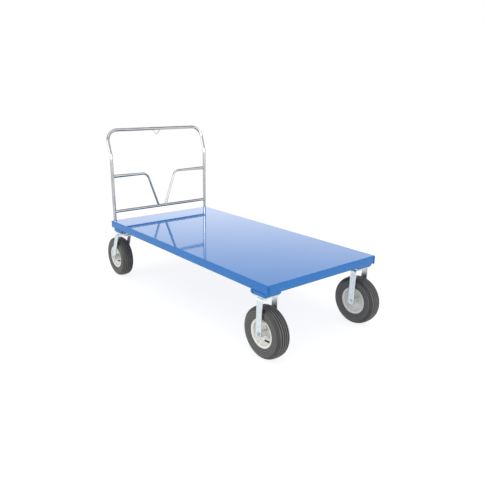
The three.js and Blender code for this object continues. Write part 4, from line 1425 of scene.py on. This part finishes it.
@dataclass
class Wheel:
    """One wheel: pneumatic tyre, steel rim, bearing hub and valve."""

    corner: Corner
    tyre_radius: float = 0.1565
    half_width: float = 0.046
    tread_half: float = 0.0255
    rib_pitch: float = 0.0150
    rib_edge: float = 0.0010
    groove: float = 0.0060
    groove_width: float = 0.0060
    wall_ring: float = 0.0012
    wall_ring_pitch: float = 0.0092
    wall_start: float = 0.020  # below the tread
    wall_fade: float = 0.004
    tread_reach: float = 1.3  # over the tread's half width, where the grooves end
    tread_fade: float = 0.002
    # share of the painted highlight that a tread rib gets, beside one for a ring
    rib_proud: float = 0.6  # how proud a rib counts, beside one for a ring
    columns: int = 200
    flange_radius: float = 0.088
    seat_radius: float = 0.076
    well_radius: float = 0.068
    rim_half: float = 0.0395
    well_half: float = 0.013
    sheet: float = 0.003
    hub_radius: float = 0.021
    hub_half: float = 0.048
    hub_flange: float = 0.037
    hub_flange_sheet: float = 0.005
    seat_gap: float = 0.0003
    bore: float = 0.0096
    bearing_rim: float = 0.0035
    bearing_sunk: float = 0.0016
    hub_bolt: tuple[float, float] = (0.010, 0.004)
    hub_nut: float = 0.005
    hub_thread: tuple[float, float, float] = (0.003, 0.0075, 0.001)
    valve_reach: float = 0.036
    cap_length: float = 0.0088
    cap_ridges: int = 12
    cap_swing: float = 0.05  # of its radius

    @property
    def middle(self) -> np.ndarray:
        """Middle of the wheel."""
        return node_middle(f"{self.corner.label}_axle_sleeve")

    def tyre_skin(self) -> tuple[np.ndarray, np.ndarray]:
        """Half of the tyre's outside as radius and distance from its middle plane.

        A curve through the tread, the shoulder and the bulge of the wall down to the bead. Grooves
        lower it round the tread, and rings, a raised cosine squared, stand on the wall.

        Returns:
            The points from the middle of the tread to the rim, and how proud each one stands.
        """
        edge, bulge = self.tread_half, self.half_width
        knots = np.array(
            [
                (self.tyre_radius, 0.0),
                (self.tyre_radius - 0.0006, edge * 0.5),
                (self.tyre_radius - 0.0024, edge),
                (self.tyre_radius - 0.0075, edge * 1.42),
                (self.tyre_radius - 0.0155, bulge * 0.875),
                (self.tyre_radius - 0.0265, bulge * 0.972),
                (self.tyre_radius - 0.038, bulge),
                (self.tyre_radius - 0.050, bulge * 0.975),
                (self.tyre_radius - 0.060, bulge * 0.93),
                (self.flange_radius + 0.0012, bulge * 0.9),
            ]
        )
        skin = curve(knots, 170)
        across = skin[:, 1].copy()
        phase = np.abs(np.mod(across / self.rib_pitch, 1.0) - 0.5) * self.rib_pitch
        tread = step_up((edge * self.tread_reach - across) / self.tread_fade)
        sunk = step_up((self.groove_width / 2 + self.rib_edge - phase) / (2 * self.rib_edge)) * tread
        low = step_up((self.tyre_radius - self.wall_start - skin[:, 0]) / self.wall_fade)
        ring = low * (0.5 + 0.5 * np.cos(2 * math.pi * skin[:, 0] / self.wall_ring_pitch)) ** 2
        skin[:, 0] -= self.groove * sunk
        skin[:, 1] += self.wall_ring * ring
        # Ribs and rings get the painted highlight; the grooves get none and stay dark as painted shade.
        return skin, tread * (1 - sunk) * self.rib_proud + ring

    def tyre(self) -> tuple[Surface, np.ndarray]:
        """The tyre: its skin, bead and inside turned about the axle.

        Returns:
            The tyre, and how proud each of its points stands, the mask of the rubber's painted highlight.
        """
        skin, proud = self.tyre_skin()
        bead_half = self.rim_half - self.sheet - self.seat_gap
        flange, seat = self.flange_radius + self.seat_gap, self.seat_radius + self.seat_gap
        inner = np.array(
            [
                (flange, bead_half + 0.001),
                (flange - 0.001, bead_half),
                (seat + 0.002, bead_half - 0.002),
                (seat, bead_half - 0.004),
                (seat, bead_half - 0.012),
                (seat + 0.004, bead_half - 0.012),
                (flange + 0.008, bead_half),
                (flange + 0.025, self.half_width - 0.006),
                (self.tyre_radius - 0.02, self.half_width - 0.012),
                (self.tyre_radius - 0.012, self.tread_half),
                (self.tyre_radius - 0.010, 0.0),
            ]
        )
        half = np.vstack([skin, inner])
        proud = np.append(proud, np.zeros(len(inner)))
        profile = np.vstack([half, half[-2:0:-1] * (1, -1)])
        relief_highlight = np.repeat(np.append(proud, proud[-2:0:-1]), self.columns)
        return turned(profile, Axis.Y, self.columns).moved(self.middle), relief_highlight

    def rim(self) -> Surface:
        """The rim: flanges, bead seats, well and middle disc, all corners rounded, turned about Y."""
        wall, slope = self.sheet, self.seat_radius - self.well_radius
        well, seat = self.well_radius, self.seat_radius
        upper = [
            (well, self.well_half, 0.003),
            (seat, self.well_half + slope, 0.003),
            (seat, self.rim_half - 2 * wall, 0.002),
            (self.flange_radius, self.rim_half - wall, 0.0012),
            (self.flange_radius, self.rim_half, 0.0012),
            (seat - wall, self.rim_half - wall, 0.004),
            (seat - wall, self.well_half + slope, 0.003),
            (well - wall, self.well_half, 0.003),
            (well - wall, wall, 0.007),
            (self.hub_radius + self.seat_gap, wall, 0.0005),
        ]
        lower = [(radius, -y, bend) for radius, y, bend in reversed(upper)]
        corners = np.array(upper + lower)
        return turned(rounded(corners[:, :2], list(corners[:, 2]), 5), Axis.Y, 144).moved(self.middle)

    def hub(self) -> Surface:
        """The hub: a bored tube with a flange, its end bearings set in, and four bolts.

        Returns:
            The hub's closed shapes together.
        """
        side, seat = self.corner.side, self.sheet + self.seat_gap
        top, half, tube = seat + self.hub_flange_sheet, self.hub_half, self.hub_radius
        ring, sunk = tube - self.bearing_rim, self.bearing_sunk
        corners = [
            (self.bore, -half + sunk, 0.0003),
            (ring, -half + sunk, 0.0003),
            (ring, -half, 0.0006),
            (tube, -half, 0.0008),
            (tube, seat, 0.0),
            (self.hub_flange, seat, 0.0006),
            (self.hub_flange, top, 0.0008),
            (tube, top, 0.003),
            (tube, half, 0.0008),
            (ring, half, 0.0006),
            (ring, half - sunk, 0.0003),
            (self.bore, half - sunk, 0.0003),
        ]
        outline = np.array(corners)
        body = turned(rounded(outline[:, :2] * (1, side), list(outline[:, 2]), 4), Axis.Y, 96)
        radius, out = (tube + self.hub_flange) / 2, np.array([0.0, side, 0.0])
        flats, height = self.hub_bolt
        pieces = [body]
        for quarter in range(4):
            angle = math.radians(45 + 90 * quarter)
            spot = np.array([radius * math.cos(angle), 0.0, radius * math.sin(angle)])
            pieces.append(hex_block(flats, height).aimed(spot + out * top, out))
            pieces.append(hex_block(flats, self.hub_nut).aimed(spot - out * self.sheet, -out))
            pieces.append(threaded_end(*self.hub_thread).aimed(spot - out * self.sheet, -out))
        return together(*pieces).moved(self.middle)

    def valve(self) -> Surface:
        """The valve: a waisted rubber stem with a ridged cap, square on the slope of the rim's well."""
        stem = node_middle(f"{self.corner.label}_valve_stem") - self.middle
        spoke = unit(stem * (1, 0, 1))
        out = np.array([0.0, self.corner.side, 0.0])
        slope = self.seat_radius - self.well_radius
        foot = spoke * (self.well_radius - self.sheet + slope / 2) + out * (self.well_half + slope / 2)
        reach = self.valve_reach
        profile = np.array(
            [
                (0, -0.004),
                (0.0045, -0.004),
                (0.0045, 0.0),
                (0.0072, 0.0002),
                (0.0074, 0.0014),
                (0.0062, 0.003),
                (0.0052, 0.008),
                (0.0046, reach - 0.0095),
                (0.0046, reach - 0.009),
                (0.0056, reach - 0.0086),
                (0.0056, reach - 0.003),
                (0.0044, reach - 0.0012),
                (0.0036, reach),
                (0, reach),
            ]
        )
        shape = turned(profile, Axis.Z, 48, closed=False)
        angle = np.arctan2(shape.points[:, 1], shape.points[:, 0])
        cap = (shape.points[:, 2] > reach - self.cap_length)[:, None]
        swing = 1 + self.cap_swing * np.cos(self.cap_ridges * angle)
        ridged = shape.points * np.stack([swing, swing, np.ones(len(angle))], 1)
        return Surface(np.where(cap, ridged, shape.points), shape.faces).aimed(
            self.middle + foot, out - spoke
        )

    def build(self) -> None:
        """Makes the wheel's pieces and dresses them in rubber, cream enamel and steel."""
        name, body = self.corner.label, self.corner.wheel_body
        tyre, relief_highlight = self.tyre()
        # The tyre hands its mask of proud points to the rubber, which paints them as a highlight.
        install(
            tyre, f"{name}_pneumatic_tyre", TYRE, body, (f"{name}_tyre",), sharp=40, relief_highlight=relief_highlight
        )
        install(self.rim(), f"{name}_wheel_rim", RIM_ENAMEL, body, (f"{name}_rim",))
        install(self.hub(), f"{name}_wheel_hub", HUB, body, (f"{name}_hub",))
        install(self.valve(), f"{name}_valve", VALVE, body, (f"{name}_valve_stem",))


def curve(knots: np.ndarray, count: int) -> np.ndarray:
    """Smooth curve through knots: on each span a cubic with each knot's slope from its neighbours.

    Args:
        knots: the points to pass through.
        count: points wanted along it, evenly spread.

    Returns:
        The points.
    """
    chord = np.append(0.0, np.cumsum(np.linalg.norm(np.diff(knots, axis=0), axis=1)))
    slopes = np.gradient(knots, chord, axis=0)
    place = np.linspace(0.0, chord[-1], count)
    span = np.clip(np.searchsorted(chord, place, side="right") - 1, 0, len(knots) - 2)
    size = (chord[span + 1] - chord[span])[:, None]
    t = (place - chord[span])[:, None] / size
    start, finish = knots[span], knots[span + 1]
    leaving, arriving = slopes[span] * size, slopes[span + 1] * size
    return (
        (2 * t**3 - 3 * t**2 + 1) * start
        + (t**3 - 2 * t**2 + t) * leaving
        + (3 * t**2 - 2 * t**3) * finish
        + (t**3 - t**2) * arriving
    )


def step_up(value: np.ndarray) -> np.ndarray:
    """Smooth step: nought below nought, one above one, and 3t squared less 2t cubed between."""
    t = np.clip(value, 0.0, 1.0)
    return t * t * (3 - 2 * t)


# ---- Studio -------------------------------------------------------------------------------------


@dataclass
class Studio:
    """Pale floor, white surroundings, soft lamps and the camera."""

    camera_place: tuple[float, float, float] = (2.8078, -2.1940, 1.4297)
    camera_target: tuple[float, float, float] = (0.0345, 0.0, 0.2506)
    roll: float = 0.00815
    lens: float = 38.288
    sensor: float = 36.0
    shift: tuple[float, float] = (0.0292, 0.0443)
    sky: float = 0.6
    backdrop: float = 2.2
    walls: tuple[tuple[float, float], ...] = (
        (0.0, 2.1), (0.3, 2.1), (0.45, 0.4), (0.80, 0.4), (0.93, 2.2)
    )
    ring: tuple[float, float] = (1.3, 0.95)
    near_edge: tuple[float, float] = (0.1, -0.4)
    ring_edge: tuple[float, float] = (0.17, 0.38)
    ceiling: float = 0.45
    ceiling_edge: tuple[float, float] = (0.45, 0.7)
    floor_glow: float = 0.82
    floor_half: float = 30.0
    floor_grey: float = 0.8
    floor_seen_grey: float = 0.3
    lamps: tuple[tuple[str, tuple, float, float], ...] = (
        ("overhead", (0.5, -0.5, 4.5), 4.0, 60.0),
        ("key", (4.5, -3.0, 3.0), 3.0, 50.0),
        ("fill", (-1.5, -5.0, 1.8), 3.0, 60.0),
        ("front", (6.0, 1.0, 1.4), 3.0, 50.0),
    )
    unmirrored: str = "key"
    panel_centre: tuple[float, float, float] = (-0.862, -0.433, 1.22)
    panel_reach: float = 2.0
    panel_headings: tuple[float, ...] = (-52.0, -26.0, 0.0)
    panel_size: tuple[float, float] = (0.93, 0.66)
    panel_energy: float = 12.0

    def sky_light(self) -> None:
        """World that is white where it is seen, the dome in gloss and a softer white where it lights."""
        world = bpy.data.worlds.new("studio")
        world.use_nodes = True
        bpy.context.scene.world = world
        wiring = Wiring(world.node_tree)
        background = wiring.tree.nodes["Background"].inputs
        wiring.feed(background["Color"], (1.0, 1.0, 1.0, 1.0))
        strength = wiring.choose(wiring.background_rays(), self.sky, self.dome_light(wiring))
        seen = wiring.node("ShaderNodeLightPath").outputs["Is Camera Ray"]
        wiring.feed(background["Strength"], wiring.choose(seen, strength, 1.0))

    def dome_light(self, wiring: Wiring) -> bpy.types.NodeSocket:
        """How bright gloss sees the studio, from the floor up.

        Bright walls before and behind with dark sides between them, then a ring that is brighter
        beyond the truck than behind the camera, then a dim ceiling.

        Args:
            wiring: the world's node tree.

        Returns:
            The brightness.
        """
        place = wiring.node("ShaderNodeTexCoord").outputs["Generated"]
        away = Vector(self.camera_target) - Vector(self.camera_place)
        ahead = Vector((away.x, away.y, 0.0)).normalized()
        along = wiring.node("ShaderNodeVectorMath", {0: place, 1: ahead}, operation="DOT_PRODUCT")
        depth = along.outputs["Value"]
        share = wiring.node("ShaderNodeMapRange", {"Value": depth, "From Min": -1.0}).outputs[0]
        ramp = wiring.node("ShaderNodeValToRGB", {"Fac": share})
        stops = ramp.color_ramp.elements
        (stops[0].position, _), (stops[1].position, _) = self.walls[0], self.walls[-1]
        for _ in self.walls[1:-1]:
            stops.new(0.5)
        for stop, (position, level) in zip(stops, self.walls):
            stop.position, stop.color = position, (*(level / self.backdrop,) * 3, 1)
        inputs = {0: ramp.outputs["Color"], 1: self.backdrop}
        low = wiring.node("ShaderNodeMath", inputs, operation="MULTIPLY").outputs[0]
        ring = wiring.choose(wiring.smooth_step(depth, self.near_edge), *self.ring)
        height = wiring.node("ShaderNodeSeparateXYZ", {0: place}).outputs["Z"]
        level = wiring.choose(wiring.smooth_step(height, self.ring_edge), low, ring)
        return wiring.choose(wiring.smooth_step(height, self.ceiling_edge), level, self.ceiling)

    def floor(self) -> bpy.types.Object:
        """White floor that keeps a soft shadow, and glows where it is seen.

        Returns:
            The floor.
        """
        mesh = bpy.data.meshes.new("studio_floor")
        size = self.floor_half
        mesh.from_pydata([(*spot, 0) for spot in rectangle(-size, -size, size, size)], [], [(0, 1, 2, 3)])
        floor = bpy.data.objects.new("studio_floor", mesh)
        bpy.context.scene.collection.objects.link(floor)
        material = bpy.data.materials.new("studio_floor")
        material.use_nodes = True
        wiring = Wiring(material.node_tree)
        wiring.tree.nodes.clear()
        plain, seen = (
            wiring.node("ShaderNodeBsdfDiffuse", {"Color": (*(grey,) * 3, 1)}).outputs[0]
            for grey in (self.floor_grey, self.floor_seen_grey)
        )
        glow = wiring.node("ShaderNodeEmission", {"Strength": self.floor_glow}).outputs[0]
        both = wiring.node("ShaderNodeAddShader", {0: seen, 1: glow}).outputs[0]
        mix = wiring.node("ShaderNodeMixShader", {0: wiring.background_rays(), 1: plain, 2: both})
        wiring.node("ShaderNodeOutputMaterial", {"Surface": mix.outputs[0]})
        mesh.materials.append(material)
        return floor

    def lamp(
        self,
        name: str,
        place: Vector | tuple[float, float, float],
        size: tuple[float, float],
        energy: float,
        target: Vector | tuple[float, float, float] = (0.0, 0.0, 0.4),
    ) -> bpy.types.Object:
        """Hangs a soft panel lamp.

        Args:
            name: the lamp's name.
            place: its middle.
            size: its width and height.
            energy: its power in watts.
            target: the point that it is aimed at.

        Returns:
            The lamp.
        """
        light = bpy.data.lights.new(name, "AREA")
        light.shape, (light.size, light.size_y), light.energy = "RECTANGLE", size, energy
        lamp = bpy.data.objects.new(name, light)
        aim = Vector(target) - Vector(place)
        lamp.matrix_world = Matrix.Translation(place) @ aim.to_track_quat("-Z", "Y").to_matrix().to_4x4()
        bpy.context.scene.collection.objects.link(lamp)
        return lamp

    def tube_panels(self, tube: bpy.types.Object) -> None:
        """Panels in an arc that light the bright tube alone and that the camera doesn't see.

        Each stands at the arc's radius from a point over the foot of the right upright, on its own
        heading, and is aimed at that point.

        Args:
            tube: the tube that they light.
        """
        receivers = bpy.data.collections.new("tube_only")
        receivers.objects.link(tube)
        centre = Vector(self.panel_centre)
        for number, heading in enumerate(self.panel_headings):
            turn = math.radians(heading)
            place = centre + self.panel_reach * Vector((math.cos(turn), math.sin(turn), 0.0))
            panel = self.lamp(f"tube_panel_{number}", place, self.panel_size, self.panel_energy, centre)
            panel.light_linking.receiver_collection = receivers
            panel.visible_camera = False

    def camera(self) -> None:
        """Camera from the front right corner, a little above the handle."""
        view = bpy.data.cameras.new("view")
        view.lens, view.sensor_width = self.lens, self.sensor
        view.shift_x, view.shift_y = self.shift
        camera = bpy.data.objects.new("view", view)
        aim = Vector(self.camera_target) - Vector(self.camera_place)
        turn = aim.to_track_quat("-Z", "Y").to_matrix().to_4x4()
        camera.matrix_world = Matrix.Translation(self.camera_place) @ turn @ Matrix.Rotation(
            self.roll, 4, "Z"
        )
        bpy.context.scene.collection.objects.link(camera)
        bpy.context.scene.camera = camera

    def build(self, tube: bpy.types.Object) -> None:
        """Sets the studio up and the view transform plain.

        Args:
            tube: the bright main tube, which has panels of its own.
        """
        bpy.context.scene.view_settings.view_transform = "Standard"
        self.sky_light()
        self.floor()
        for name, place, width, energy in self.lamps:
            lamp = self.lamp(name, place, (width, width), energy)
            lamp.visible_glossy = name != self.unmirrored
        self.tube_panels(tube)
        self.camera()


# ---- Assembly -----------------------------------------------------------------------------------


def main() -> None:
    """Builds the truck's sub-assemblies in order, then the studio."""
    logging.basicConfig(level=logging.INFO, format="%(name)s: %(message)s")
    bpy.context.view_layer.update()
    deck = Deck()
    deck.build()
    tube = Handle(deck).build()
    for corner in Corner:
        Caster(corner).build()
        Wheel(corner).build()
    Studio().build(tube)


if __name__ == "__main__":
    main()
